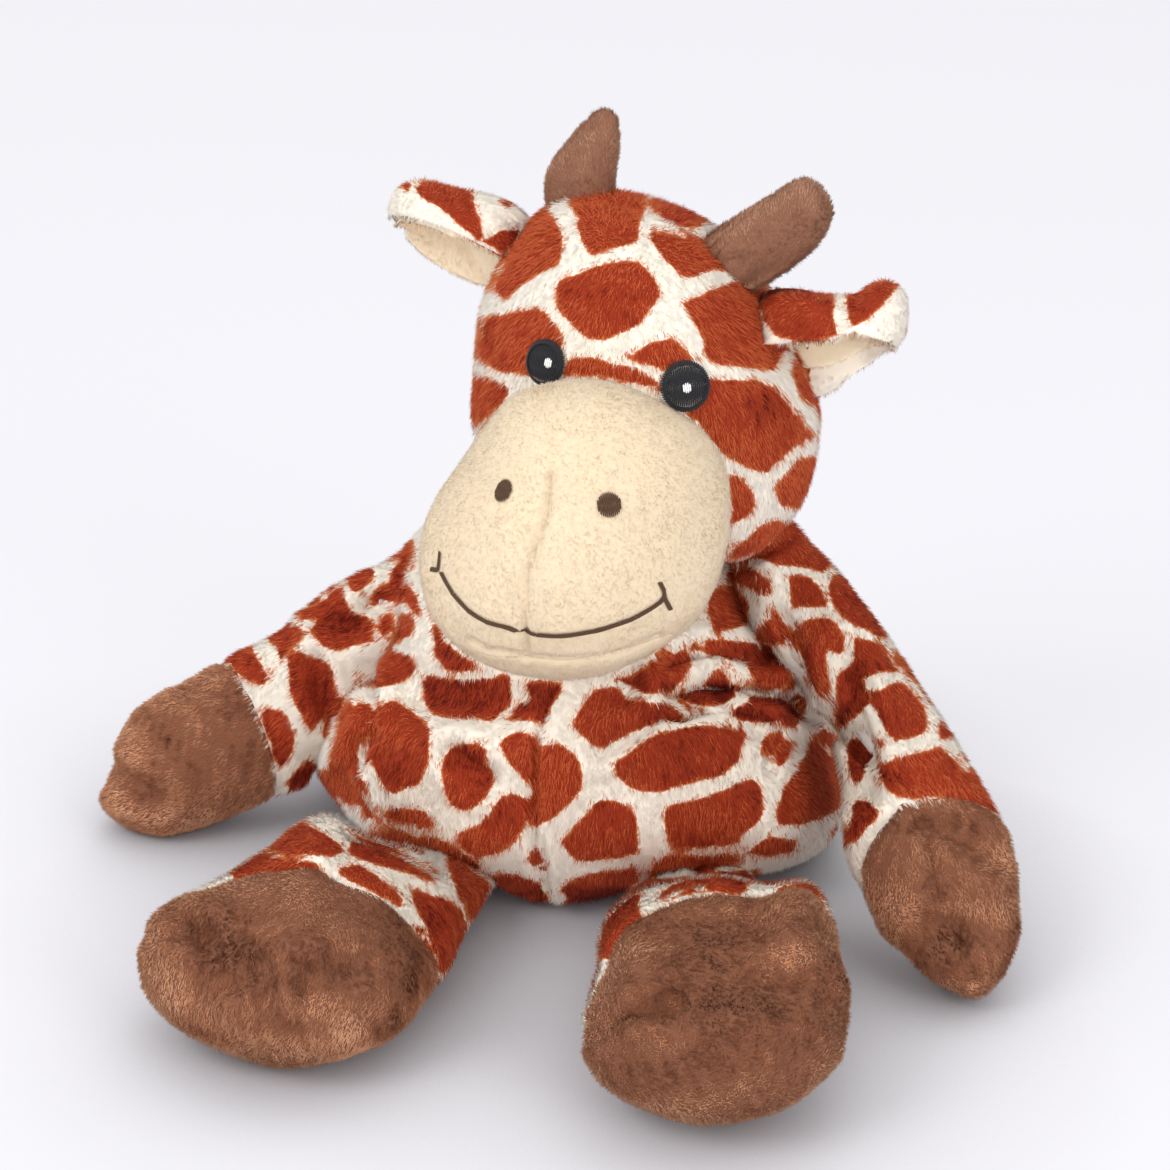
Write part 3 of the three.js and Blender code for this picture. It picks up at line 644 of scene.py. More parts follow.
def grow_pile(name, cloth, shades, pick, body, slot, per_mm2=3.0, length=PILE, thick=0.125 * MM, lean=1.8,
              nap=(0, 0, -1), seed=1, bare=None, bends=None, spots=(), tuft=0.4, rim=0.0):
    """Pile on a piece of cloth: many fibres, rooted in it, that lean the way the cloth was brushed. The shade of each
    is picked by the print under its tip and by soft clouds, small locks, spots of brushed nap and of painted shade
    and light, and a painted sheen that lightens rims seen edge-on from the camera."""
    chance = np.random.default_rng(seed)
    places, normals = places_of(cloth), normals_of(cloth)
    cloth.calc_loop_triangles()
    corners = values_of(cloth.loop_triangles, "vertices", 3, int)
    a, b, c = places[corners].transpose(1, 0, 2)
    area = np.linalg.norm(np.cross(b - a, c - a), axis=1) / 2
    count = min(int(area.sum() / MM ** 2 * per_mm2), MOST_FIBRES)
    face = np.sort(chance.choice(len(area), count, p=area / area.sum()))
    u, v = chance.random((2, count))
    u, v = np.where(u + v > 1, 1 - u, u), np.where(u + v > 1, 1 - v, v)
    share = np.stack((1 - u - v, u, v), 1)[:, :, None]
    root = (places[corners[face]] * share).sum(1)
    up = unit((normals[corners[face]] * share).sum(1))
    depth, slope = np.zeros(count), np.zeros((count, 3))
    if "patch" in cloth.attributes:
        patch = values_of(cloth.attributes["patch"].data, "value", 1, np.float32)[:, 0]
        depth = (patch[corners[face]] * share[:, :, 0]).sum(1)
        flat = np.cross(b - a, c - a)
        twice = (flat ** 2).sum(1)[:, None]
        rise, run = (patch[corners[:, k]] - patch[corners[:, 0]] for k in (1, 2))
        slope = ((rise[:, None] * np.cross(c - a, flat) + run[:, None] * np.cross(flat, b - a)) / twice)[face]
    if bare is not None:
        kept = ~bare(root)
        root, up, depth, slope = root[kept], up[kept], depth[kept], slope[kept]
        count = len(root)
    nap = np.broadcast_to(np.array(nap, float), root.shape)
    swirl = np.stack([lumps(root, SWIRL_SIZE, seed * 10 + k) for k in range(3)], 1)
    along = nap + SWIRL * swirl + chance.normal(0, STRAY_NAP, (count, 3))
    along -= (along * up).sum(1)[:, None] * up
    along /= np.maximum(np.linalg.norm(along, axis=1)[:, None], LEAST_NAP)
    way = unit(up + lean * along + chance.normal(0, STRAY, (count, 3)))
    side = unit(np.cross(way, chance.normal(size=(count, 3))))
    other = np.cross(way, side)
    tall = length * chance.uniform(SHORTEST, LONGEST, count)
    wide = thick * chance.uniform(THINNEST, THICKEST, count)
    depth = depth + TIP_CARRY * tall * (way * slope).sum(1)
    x, y, z = FIBRE_PLACES.T
    root = root - ROOT_DEPTH * up
    radial = x[None, :, None] * side[:, None] + y[None, :, None] * other[:, None]
    fibres = root[:, None] + wide[:, None, None] * radial + (tall[:, None] * z[None])[:, :, None] * way[:, None]
    fibres[:, :, 2] = np.maximum(fibres[:, :, 2], TIP_ABOVE_FLOOR)
    per, faces = len(FIBRE_PLACES), len(FIBRE_CORNERS)
    mesh = bpy.data.meshes.new(name)
    mesh.vertices.add(count * per)
    mesh.vertices.foreach_set("co", fibres.ravel())
    loops = (FIBRE_CORNERS[None] + per * np.arange(count)[:, None, None]).ravel()
    mesh.loops.add(len(loops))
    mesh.loops.foreach_set("vertex_index", loops)
    mesh.polygons.add(count * faces)
    mesh.polygons.foreach_set("loop_start", np.arange(count * faces) * 3)
    # The mottle adds painted shade and light from the spots, and a painted sheen where the cloth is edge-on to the
    # camera.
    mottle = (CLOUDS * lumps(root, CLOUD_SIZE, seed + 500) + LOCKS * lumps(root * LOCK_SHAPE, LOCK_SIZE, seed + 700)
              + nap_and_shade_at(root, up, spots) - rim * np.clip(1 - SHEEN_RIM_NARROW * np.abs(up @ to_camera), 0, 1))
    mesh.polygons.foreach_set("material_index", np.repeat(pick(depth, mottle, chance), faces))
    mesh.update(calc_edges=True)
    finish_piece(linked(name, mesh), shades, body, bends)
    lit = unit(up[:, None] + tuft * radial + LIT_BY_WAY * way[:, None])
    mesh.normals_split_custom_set_from_vertices(lit.reshape(-1, 3))


def plush_piece(node, mesh, plush, body, fill=0.6, wall=PANEL_CLOTH, bends=None, **pile):
    """A node's panel of plush: its cloth, and the pile that grows on it."""
    cloth, shades, pick, slot = plush
    cloth_piece(node + "_cover", mesh, cloth, body, [node], bends, wall)
    grow_pile(node + "_pile", mesh, shades, pick, body, slot, bends=bends, **pile)


# A plush is its cloth, the shades of its pile, the rule that picks them, and the slot of its finish.
PRINT = (PRINT_CLOTH, PRINT_PILE, print_shade, "print_plush")

# Patches of the print on the torso and the shoulders, read off the photograph: each is its outline.
TORSO_PATCHES = [
    (422,684, 427,677, 436,676, 450,679, 470,680, 487,679, 500,674, 509,676, 512,692, 510,705, 500,715, 492,720,
     475,719, 450,719, 440,717, 429,710, 424,697),
    (382,706, 391,702, 402,705, 412,712, 422,721, 430,730, 429,742, 427,765, 422,780, 417,785, 405,789, 394,794,
     385,789, 379,776, 372,762, 368,747, 369,737, 371,725, 375,712),
    (442,766, 446,755, 452,747, 462,744, 475,743, 484,744, 485,755, 490,765, 495,782, 490,790, 484,800, 477,806,
     462,811, 452,806, 446,795, 442,782),
    (499,742, 507,736, 520,732, 532,734, 540,737, 539,750, 536,770, 532,787, 525,780, 517,770, 507,760, 501,749),
    (527,681, 539,681, 550,682, 565,684, 560,692, 552,705, 546,717, 542,727, 539,725, 532,720, 517,720, 506,722,
     512,712, 520,704, 530,699, 527,690),
    (540,747, 550,744, 560,744, 572,752, 580,766, 582,782, 581,790, 570,802, 560,812, 547,821, 535,827, 532,825,
     531,810, 532,792, 535,777, 537,760),
    (459,832, 470,829, 482,824, 492,810, 502,797, 511,794, 522,796, 531,802, 530,820, 522,827, 517,840, 510,847,
     495,854, 470,859, 462,852, 460,842),
    (385,815, 387,810, 400,809, 412,810, 425,812, 432,822, 440,832, 450,845, 451,851, 442,856, 435,854, 422,846,
     410,842, 405,837, 400,827, 394,819),
    (526,859, 532,847, 540,850, 547,862, 546,872, 540,871, 534,866),
    (464,871, 480,871, 500,874, 520,876, 535,881, 545,892, 552,901, 550,907, 525,905, 505,902, 490,897, 477,882),
    (354,705, 362,703, 372,706, 372,717, 370,732, 362,740, 357,752, 359,770, 365,785, 371,800, 381,817, 367,818,
     359,805, 345,800, 340,795, 327,789, 326,780, 331,765, 337,747, 341,730, 346,715),
    (375,662, 386,653, 400,654, 411,657, 417,666, 412,675, 405,680, 395,684, 385,687, 376,691, 375,680),
    (361,691, 365,677, 372,667, 374,677, 375,691),
    (432,610, 439,630, 442,640, 450,647, 462,657, 479,666, 472,669, 460,671, 447,669, 440,660, 435,652),
    (322,735, 325,715, 337,702, 350,692, 356,677, 360,667, 354,687, 345,702, 337,717, 332,735, 325,742),
    (572,725, 577,714, 585,702, 595,690, 610,686, 620,691, 627,699, 645,702, 665,705, 682,710, 700,711, 690,717,
     675,719, 650,724, 635,730, 622,737, 610,745, 600,748, 590,742, 581,734),
    (615,762, 627,755, 640,745, 652,737, 675,730, 700,725, 715,726, 747,734, 741,747, 737,762, 725,775, 700,781,
     680,786, 657,791, 640,791, 627,785, 617,774),
    (666,807, 690,802, 715,794, 735,784, 752,779, 760,787, 764,805, 762,817, 752,827, 737,840, 722,847, 700,850,
     682,847, 667,842, 666,830, 665,815),
    (561,840, 572,829, 585,816, 594,804, 604,800, 617,802, 632,807, 636,822, 637,840, 637,854, 622,856, 605,859,
     580,862, 572,857, 565,847),
    (561,890, 570,881, 585,875, 605,871, 635,867, 660,864, 680,864, 665,872, 650,880, 640,887, 627,897, 610,901,
     590,903, 572,900),
    (776,820, 777,805, 784,790, 792,777, 802,762, 807,750, 811,742, 817,744, 827,755, 834,767, 835,785, 834,802,
     830,811, 817,820, 800,824, 780,825),
    (615,679, 630,676, 645,670, 660,660, 675,652, 687,651, 694,662, 690,672, 680,684, 665,690, 650,695, 640,692,
     632,685, 622,680),
    (672,694, 690,687, 702,684, 710,675, 717,667, 725,675, 732,684, 747,687, 745,691, 735,696, 725,704, 712,706,
     695,704, 680,700),
    (729,717, 737,707, 750,700, 765,697, 782,700, 792,707, 796,717, 791,726, 780,721, 765,721, 752,722, 737,721),
    (684,650, 695,642, 715,640, 740,641, 760,645, 772,645, 785,657, 791,672, 790,685, 780,687, 765,690, 756,685,
     750,672, 740,665, 720,657, 700,650),
    (761,755, 762,740, 770,732, 780,731, 782,737, 776,752, 765,760),
    (772,760, 777,747, 784,739, 791,741, 790,752, 784,765, 774,770),
    (737,857, 750,850, 760,842, 770,837, 780,839, 797,840, 792,850, 777,854, 760,856),
    (829,826, 836,835, 837,847, 832,860, 820,867, 807,866, 805,859, 815,852, 822,842),
    (811,735, 822,727, 832,742, 839,760, 834,762, 824,747),
    (794,694, 803,696, 806,706, 801,716, 795,728, 790,727, 798,712),
]
ARM_RIGHT_PATCHES = [
    (412,526, 410,535, 405,540, 394,542, 400,536, 406,531),
    (380,556, 375,567, 372,580, 365,586, 354,592, 347,582, 351,577, 362,566, 372,560),
    (416,545, 416,560, 414,569, 406,571, 409,582, 415,595, 421,615, 417,614, 409,605, 400,601, 385,602, 372,607,
     366,605, 369,596, 377,589, 390,581, 391,572, 400,559, 407,550),
    (340,587, 345,602, 355,614, 367,617, 375,627, 379,636, 372,641, 355,645, 337,651, 325,649, 315,640, 310,631,
     315,625, 317,619, 301,620, 302,611, 315,604, 327,599, 332,591),
    (381,619, 390,612, 400,612, 412,615, 416,622, 412,635, 405,641, 390,642, 380,640, 379,631),
    (267,637, 280,630, 292,625, 301,627, 304,637, 297,641, 290,651, 281,660, 276,650, 269,640),
    (289,655, 300,652, 315,657, 327,662, 334,675, 335,685, 339,697, 325,712, 315,730, 310,731, 301,715, 294,701,
     290,687, 290,675, 288,664),
    (220,662, 230,655, 250,647, 255,655, 262,665, 266,675, 275,667, 269,680, 260,684, 245,681, 240,674, 230,665),
    (260,710, 269,708, 280,711, 289,720, 294,735, 292,750, 287,760, 281,767, 274,760, 270,740, 262,720),
    (287,782, 295,772, 307,762, 311,761, 312,772, 315,784, 307,789, 300,793, 290,790),
]
ARM_LEFT_PATCHES = [
    (726,551, 730,547, 745,537, 761,525, 770,520, 792,519, 805,527, 822,542, 834,555, 830,562, 824,574, 807,569,
     795,566, 777,565, 761,559, 745,559, 731,557),
    (720,580, 727,572, 747,565, 757,572, 769,582, 771,592, 767,599, 757,592, 747,585, 735,581),
    (705,600, 720,587, 732,586, 742,591, 752,602, 752,615, 744,625, 732,630, 715,634),
    (787,577, 797,575, 810,577, 820,586, 824,597, 825,605, 812,606, 792,609, 790,597, 790,587),
    (840,571, 847,572, 862,580, 895,640, 877,637, 867,630, 855,625, 842,617, 835,607, 830,597, 829,587, 834,577),
    (756,634, 762,627, 770,620, 775,611, 782,622, 792,632, 795,630, 802,622, 815,620, 830,619, 837,625, 844,637,
     845,652, 840,657, 832,652, 826,650, 825,660, 827,675, 831,690, 827,697, 821,692, 815,685, 807,672, 802,657,
     797,647, 787,644, 770,641, 757,639),
    (855,639, 867,640, 880,644, 885,652, 892,667, 899,671, 885,672, 870,676, 862,680, 867,691, 871,702, 862,710,
     852,720, 844,725, 839,717, 837,695, 835,677, 842,669, 852,665, 855,652),
    (867,691, 880,689, 895,684, 904,682, 915,695, 924,706, 927,717, 926,730, 920,736, 905,739, 892,740, 886,730,
     880,717, 872,702),
    (892,654, 900,650, 945,700, 936,705, 930,702, 920,691, 910,682, 904,676, 902,671, 895,665),
    (941,720, 946,721, 952,730, 961,740, 952,739, 942,737, 940,729),
    (852,739, 862,739, 880,739, 884,742, 877,752, 870,762, 864,777, 857,785, 852,781, 849,765, 847,750),
    (881,775, 885,765, 895,759, 912,754, 927,751, 940,748, 947,755, 957,762, 962,770, 972,779, 980,782, 990,795,
     1000,815, 997,819, 985,810, 970,805, 957,801, 940,797, 925,798, 912,800, 900,796, 890,792, 884,785),
    (855,805, 860,801, 870,805, 880,812, 876,820, 867,827, 860,837, 850,850, 847,842, 851,827, 854,815),
    (959,755, 966,752, 972,762, 980,775, 981,780, 975,772, 967,762, 960,759),
]

# The torso's outline where the photograph shows it, its creases, and where its pile is painted darker or lighter:
# partly its brushed nap, partly painted shade in its folds and under the muzzle, and painted light.
TORSO_MIDDLE = (575, 725)
TORSO_OUTLINE = [
    [(385, 640), (372, 655), (352, 680), (335, 700), (325, 712), (312, 740), (314, 765), (320, 785), (338, 802)],
    [(480, 880), (510, 900), (545, 908), (580, 905), (610, 902), (640, 890)],
    [(822, 864), (836, 848), (842, 825), (846, 790), (845, 765), (838, 745), (822, 728)],
]
TORSO_CREASES = [
    (3.6, 7.0, (676, 694), (692, 689), (710, 685), (730, 685), (750, 689)),
    (2.6, 4.0, (752, 690), (775, 694), (800, 703), (815, 712)),
    (2.8, 3.6, (672, 662), (695, 653), (730, 653), (765, 660)),
    (2.8, 3.0, (600, 750), (625, 736), (650, 723), (690, 713), (722, 712), (760, 727)),
    (1.4, 1.6, (782, 733), (776, 752), (771, 772)),
    (2.2, 3.4, (374, 668), (372, 700), (371, 730), (360, 745), (356, 762)),
    (3.2, 3.4, (454, 752), (467, 767), (482, 776)),
    (6.0, 3.4, (420, 694), (460, 701), (505, 705)),
    (1.5, 2.2, (556, 684), (548, 700), (541, 725), (537, 750), (535, 780), (532, 830), (538, 860), (546, 898)),
    (2.4, 2.0, (338, 775), (350, 795), (372, 812)),
    (9.0, -3.0, (400, 800), (440, 830), (480, 845)), (9.0, -3.0, (650, 845), (700, 836), (770, 830), (810, 810)),
]
TORSO_NAP_AND_SHADE = [
    (465, 690, 55, 25, 1.2), (466, 762, 25, 22, 1.1), (690, 762, 60, 25, 0.8), (708, 690, 50, 14, 1.6),
    (745, 655, 50, 14, 1.3), (765, 710, 40, 14, 1.0), (450, 640, 40, 20, 0.9), (560, 895, 90, 14, 0.8),
    (480, 868, 40, 10, 0.8), (545, 693, 30, 20, 0.8), (345, 760, 25, 45, -0.7), (395, 750, 30, 35, 0.2),
    (595, 715, 32, 16, -0.6), (660, 725, 50, 8, 0.9), (410, 830, 35, 20, -0.4), (555, 780, 25, 40, -0.4),
    (700, 820, 55, 25, -0.1), (805, 780, 28, 35, -0.4), (500, 830, 35, 25, -0.2), (640, 680, 40, 15, 0.3),
]

centre_seam, to_right = seam_between("torso_front_left", "torso_front_right")
side_seam, to_back = seam_between("torso_front_left", "torso_back")
panels = {
    "torso_front_left": [(centre_seam, -to_right), (side_seam, -to_back)],
    "torso_front_right": [(centre_seam, to_right), (side_seam, -to_back)],
    "torso_back": [(side_seam, to_back)],
}
torso_form = soft_form("torso_form", drawn_tight(copies_of(*panels)), TORSO_GRAIN, TORSO_ROUNDS, PILE_INSET)
warps = {"torso": [fit_outline(torso_form, TORSO_MIDDLE, part) for part in TORSO_OUTLINE]}
made_lumpy(torso_form, TORSO_LUMPS, TORSO_LUMP_SIZE, 3)
crease_plane(torso_form, side_seam, to_back, SEAM_WIDTH, SEAM_DEPTH)
pressed(torso_form, TORSO_CREASES)
set_on_floor(torso_form)
print_patches(torso_form, TORSO_PATCHES + ARM_LEFT_PATCHES + ARM_RIGHT_PATCHES, ("head", "muzzle", "leg"), seed=11,
              graze=-0.15)

for seed, (node, cuts) in enumerate(panels.items()):
    plush_piece(node, cut_panel(node + "_panel", torso_form, cuts), PRINT, "torso", seed=20 + seed, spots=TORSO_NAP_AND_SHADE)

# ---------------------------------------------------------------------------------------------------------------
# Arms and legs. Each is a stuffed sleeve of print plush, sewn to the torso at its root and to a brown plush hoof at
# its cuff. The hooves have a shorter pile, painted lighter on the rims seen edge-on from the camera as a painted
# sheen.
HOOF_PILE = 2.0 * MM
BLEND_LENGTH = 26 * MM
HOOF_CLOTH = shader("hoof_cloth", (128, 84, 62))
HOOF_SHADES = shades_of("hoof_pile", (228, 168, 130), (208, 147, 110), (184, 124, 90), (156, 98, 69), (122, 71, 48),
                        (88, 47, 31))


def mottled(middle, clouds, speckle, last):
    """The rule for which of some shades, 0 to last, each fibre has, in soft clouds of speckled pile."""
    def pick(depth, mottle, chance):
        return np.clip((middle + clouds * mottle + speckle * (chance.random(len(depth)) - 0.5)).astype(int), 0, last)

    return pick


HOOF = (HOOF_CLOTH, HOOF_SHADES, mottled(2.9, 1.4, 0.5, 5), "hoof_plush")
mottled_shade = mottled(1.8, 1.1, 1.5, 3)


def seam_through(form, path, inside):
    """The plane of a seam that is seen as a path in the photograph, on a form, and the way across it from a place."""
    skin = skin_of(form)
    met = [skin.ray_cast(Vector(camera_place), ray_through(pixel))[0] for pixel in path]
    rim = np.array([place for place in met if place is not None])
    middle = rim.mean(0)
    way = np.linalg.svd(rim - middle, full_matrices=False)[2][2]
    return middle, way * np.sign((middle - inside) @ way)


CUFFS = {
    "arm_right": [(222, 664), (242, 682), (251, 699), (266, 734), (277, 768), (278, 790)],
    "arm_left": [(865, 843), (884, 822), (911, 803), (937, 799), (968, 804), (991, 815)],
    "leg_right": [(240, 872), (268, 868), (320, 872), (353, 884), (398, 909), (418, 932), (429, 961), (429, 980)],
    "leg_left": [(606, 952), (619, 935), (649, 913), (679, 901), (708, 896), (748, 898), (777, 909), (807, 929),
                 (827, 951)],
}

# The legs' patches, and the limbs' outlines round their middles, creases, and spots where their pile is painted
# darker or lighter (partly brushed nap, partly painted shade in dents and folds and painted light on lit rims), read
# off the same way.
LEG_RIGHT_PATCHES = [
    (240,860, 254,845, 273,834, 298,828, 314,833, 327,842, 341,850, 342,854, 332,858, 318,855, 302,855, 287,857,
     268,858, 249,861),
    (287,833, 298,826, 309,820, 323,814, 336,810, 332,811, 318,818, 307,826, 293,832),
    (232,874, 245,862, 264,860, 282,859, 298,861, 318,863, 326,884, 300,884, 275,882, 252,882, 237,884),
    (339,827, 348,824, 357,821, 368,825, 382,822, 395,826, 404,835, 414,846, 423,855, 427,860, 418,857, 404,852,
     389,846, 373,842, 357,841, 348,835),
    (345,852, 352,845, 364,842, 379,849, 395,857, 411,866, 425,874, 434,880, 429,883, 416,877, 400,872, 382,868,
     364,861, 350,857),
    (339,871, 348,866, 361,867, 373,876, 386,885, 398,894, 402,903, 398,908, 389,901, 377,895, 364,887, 350,880),
    (411,889, 418,891, 434,897, 448,903, 458,914, 461,928, 462,944, 457,958, 448,971, 441,979, 439,969, 437,955,
     432,939, 423,924, 416,910, 412,899),
    (414,928, 422,926, 427,937, 433,953, 435,969, 434,985, 429,992, 428,978, 425,960, 419,944),
    (447,861, 457,867, 468,876, 482,885, 484,896, 479,910, 473,924, 466,937, 465,924, 461,905, 452,889, 447,876),
]
LEG_LEFT_PATCHES = [
    (690,864, 712,861, 731,862, 740,867, 738,871, 725,869, 714,873, 708,880, 699,881, 694,873),
    (708,879, 725,877, 742,877, 750,881, 750,888, 744,894, 733,896, 720,894, 708,892, 700,891),
    (660,903, 670,896, 679,889, 694,885, 707,885, 707,892, 694,894, 677,898, 664,904),
    (764,862, 775,866, 786,870, 799,878, 810,888, 823,898, 831,907, 833,918, 826,910, 816,902, 803,894, 790,888,
     779,879, 770,868),
    (773,900, 779,889, 786,889, 796,895, 810,902, 820,908, 829,918, 836,929, 836,942, 829,942, 818,936, 807,927,
     794,916, 781,907),
    (594,954, 604,934, 616,916, 626,900, 640,890, 651,892, 642,904, 640,912, 646,918, 638,930, 626,944, 612,962),
    (833,961, 840,968, 843,979, 840,975, 836,966),
]
LIMB_OUTLINES = {
    "arm_right": ((250, 745), [(414, 524), (375, 556), (335, 587), (302, 614), (246, 647), (222, 661), (193, 675),
                               (156, 693), (131, 713), (119, 731), (116, 745), (118, 760), (108, 776), (102, 800),
                               (105, 813), (119, 825), (156, 832), (193, 829), (237, 816), (280, 799), (313, 785)]),
    "arm_left": ((905, 790), [(795, 518), (834, 559), (880, 630), (935, 705), (981, 780), (1000, 817), (1014, 847),
                              (1020, 877), (1020, 908), (1014, 951), (1000, 980), (990, 992), (974, 997), (945, 984),
                              (907, 957), (876, 928), (859, 889), (849, 868), (844, 840), (841, 815), (839, 790),
                              (836, 765), (831, 740), (824, 715), (813, 690)]),
    "leg_right": ((300, 955), [(336, 810), (300, 821), (280, 838), (247, 858), (204, 889), (175, 907), (150, 930),
                               (141, 956), (143, 975), (150, 994), (175, 1021), (219, 1050), (264, 1066), (297, 1068),
                               (342, 1061), (387, 1041), (416, 1019), (430, 1000), (448, 971), (465, 937),
                               (478, 912)]),
    "leg_left": ((715, 1010), [(601, 960), (587, 990), (581, 1018), (580, 1045), (592, 1073),
                               (619, 1101), (659, 1119), (698, 1126), (738, 1125), (777, 1117), (807, 1101),
                               (837, 1067), (849, 1038), (851, 1018), (849, 995), (845, 972), (841, 950),
                               (837, 928), (831, 908), (820, 890), (806, 874)]),
}
LIMB_CREASES = {
    "arm_right": [
        (4.0, 3.0, (330, 617), (345, 624), (360, 618), (374, 606)), (3.0, 1.4, (376, 600), (392, 597), (410, 607)),
        (2.6, 2.4, (316, 660), (322, 690), (330, 718)), (2.0, 1.4, (185, 690), (215, 687), (245, 689)),
        (3.4, 3.4, (112, 772), (126, 780), (142, 791), (160, 800)),
    ],
    "arm_left": [
        (1.5, 2.1, (917, 813), (923, 827), (931, 850), (936, 877), (940, 900)),
        (4.5, 2.6, (928, 930), (945, 932), (962, 929), (978, 922)),
        (1.5, 2.2, (958, 925), (965, 945), (970, 962), (974, 981)),
        (3.2, 2.0, (925, 822), (950, 828), (975, 840), (995, 856)),
        (1.5, 1.4, (722, 577), (745, 562), (762, 552), (790, 536)),
        (2.0, 2.2, (776, 611), (790, 630), (800, 650), (803, 672), (806, 690)),
        (1.3, 1.4, (864, 682), (878, 710), (890, 741)), (1.3, 1.4, (901, 760), (905, 780), (911, 799)),
        (4.0, 2.6, (845, 655), (850, 700), (862, 745), (862, 790)),
    ],
    "leg_right": [
        (3.2, 3.6, (189, 925), (200, 935)), (7.0, 3.4, (207, 965), (228, 960), (247, 953)),
        (2.4, 2.4, (249, 948), (244, 970), (232, 986)), (2.6, 3.0, (299, 962), (302, 976), (302, 992)),
        (4.4, 2.0, (325, 978), (345, 969), (368, 962)), (3.2, 2.0, (268, 972), (263, 990), (258, 1006)),
        (2.0, 1.0, (366, 1008), (371, 1022)), (2.0, 1.6, (152, 937), (165, 934), (180, 937)),
        (2.2, 2.0, (352, 829), (380, 839), (410, 851), (440, 869)),
    ],
    "leg_left": [
        (2.2, 3.0, (592, 1037), (610, 1022), (630, 1016), (650, 1010), (668, 1003)),
        (5.0, 3.4, (668, 1003), (700, 992), (735, 985), (765, 984), (795, 987)),
        (1.8, 1.8, (746, 978), (772, 981), (797, 985)), (8.0, 2.6, (680, 938), (705, 948), (742, 944)),
        (3.0, 1.8, (829, 1002), (838, 1015), (846, 1032)), (1.6, 1.4, (692, 862), (700, 880), (702, 894)),
        (3.0, 1.6, (752, 925), (765, 940), (770, 955)),
    ],
}
LIMB_NAP_AND_SHADE = {
    "arm_right": [
        (245, 715, 25, 55, 0.5), (190, 735, 60, 40, 0.3), (130, 740, 20, 40, -0.6), (190, 818, 90, 14, -0.8),
        (200, 680, 60, 12, -0.6), (150, 797, 25, 10, 0.5), (112, 800, 14, 20, -0.4), (350, 622, 30, 18, 1.2),
        (318, 690, 25, 40, 0.7), (395, 590, 30, 20, 0.6), (310, 780, 30, 20, 0.6),
    ],
    "arm_left": [
        (938, 948, 48, 20, 0.9), (992, 935, 38, 24, 0.6), (965, 875, 34, 24, 0.3), (880, 925, 30, 45, -0.8),
        (1006, 880, 14, 60, -0.8), (955, 832, 50, 12, 0.4), (955, 985, 50, 12, -0.6), (945, 905, 45, 12, -0.5),
        (855, 700, 22, 45, 0.9), (862, 765, 20, 28, 1.0), (890, 830, 20, 24, 0.5), (905, 880, 30, 30, -0.2),
        (935, 790, 50, 8, -0.7), (790, 550, 40, 25, 0.0), (870, 820, 20, 20, 0.7),
    ],
    "leg_right": [
        (232, 925, 40, 34, 0.6), (230, 965, 34, 24, 0.8), (198, 928, 16, 12, 0.8), (300, 978, 30, 22, 0.7),
        (340, 970, 34, 18, 0.5), (412, 965, 24, 50, 1.0), (165, 985, 26, 50, -1.0), (300, 1050, 120, 22, -0.9),
        (330, 895, 70, 18, -0.6), (240, 890, 50, 14, -0.7), (388, 1030, 14, 22, 0.7), (285, 1000, 20, 24, 0.3),
        (350, 1030, 16, 22, -0.6), (400, 845, 40, 12, 0.8),
    ],
    "leg_left": [
        (705, 948, 54, 30, 0.9), (730, 1000, 110, 24, 0.8), (718, 1055, 50, 40, 0.6), (795, 950, 40, 16, -0.9),
        (600, 1000, 22, 60, -1.0), (700, 1112, 120, 18, -0.9), (640, 955, 34, 24, -0.5), (830, 975, 20, 20, 0.5),
        (838, 1060, 18, 40, -0.6), (700, 912, 60, 10, -0.4), (765, 925, 10, 5, -1.0), (640, 1045, 30, 20, -0.3),
    ],
}

SAT_ON, SAT_REACH = 0.5, 58 * MM
ARM_PULL, ARM_REACH, ARM_ROOT = 9 * MM, 18 * MM, 38 * MM
LIMB_GRAIN, LIMB_ROUNDS = 2 * MM, 14
LIMB_LUMPS, LIMB_LUMP_SIZE = 0.6 * MM, 14 * MM
CUFF_WIDTH, CUFF_DEPTH = 1.5 * MM, 1.3 * MM
torso_skin = skin_of(torso_form)
joint_places = {joint["child"]: np.array(joint["pos_m"]) for joint in frame["joints"]}
limb_patches = {"arm_left": ARM_LEFT_PATCHES, "arm_right": ARM_RIGHT_PATCHES + TORSO_PATCHES,
                "leg_left": LEG_LEFT_PATCHES, "leg_right": LEG_RIGHT_PATCHES}


def limb_bend(limb, towards):
    """The bend of a limb's cloth at its joint, as data: the torso, the limb, the joint, and a place a short length
    from it towards another place.
    """
    start = joint_places[limb]
    return "torso", limb, start, start + BLEND_LENGTH * (towards - start) / np.linalg.norm(towards - start)


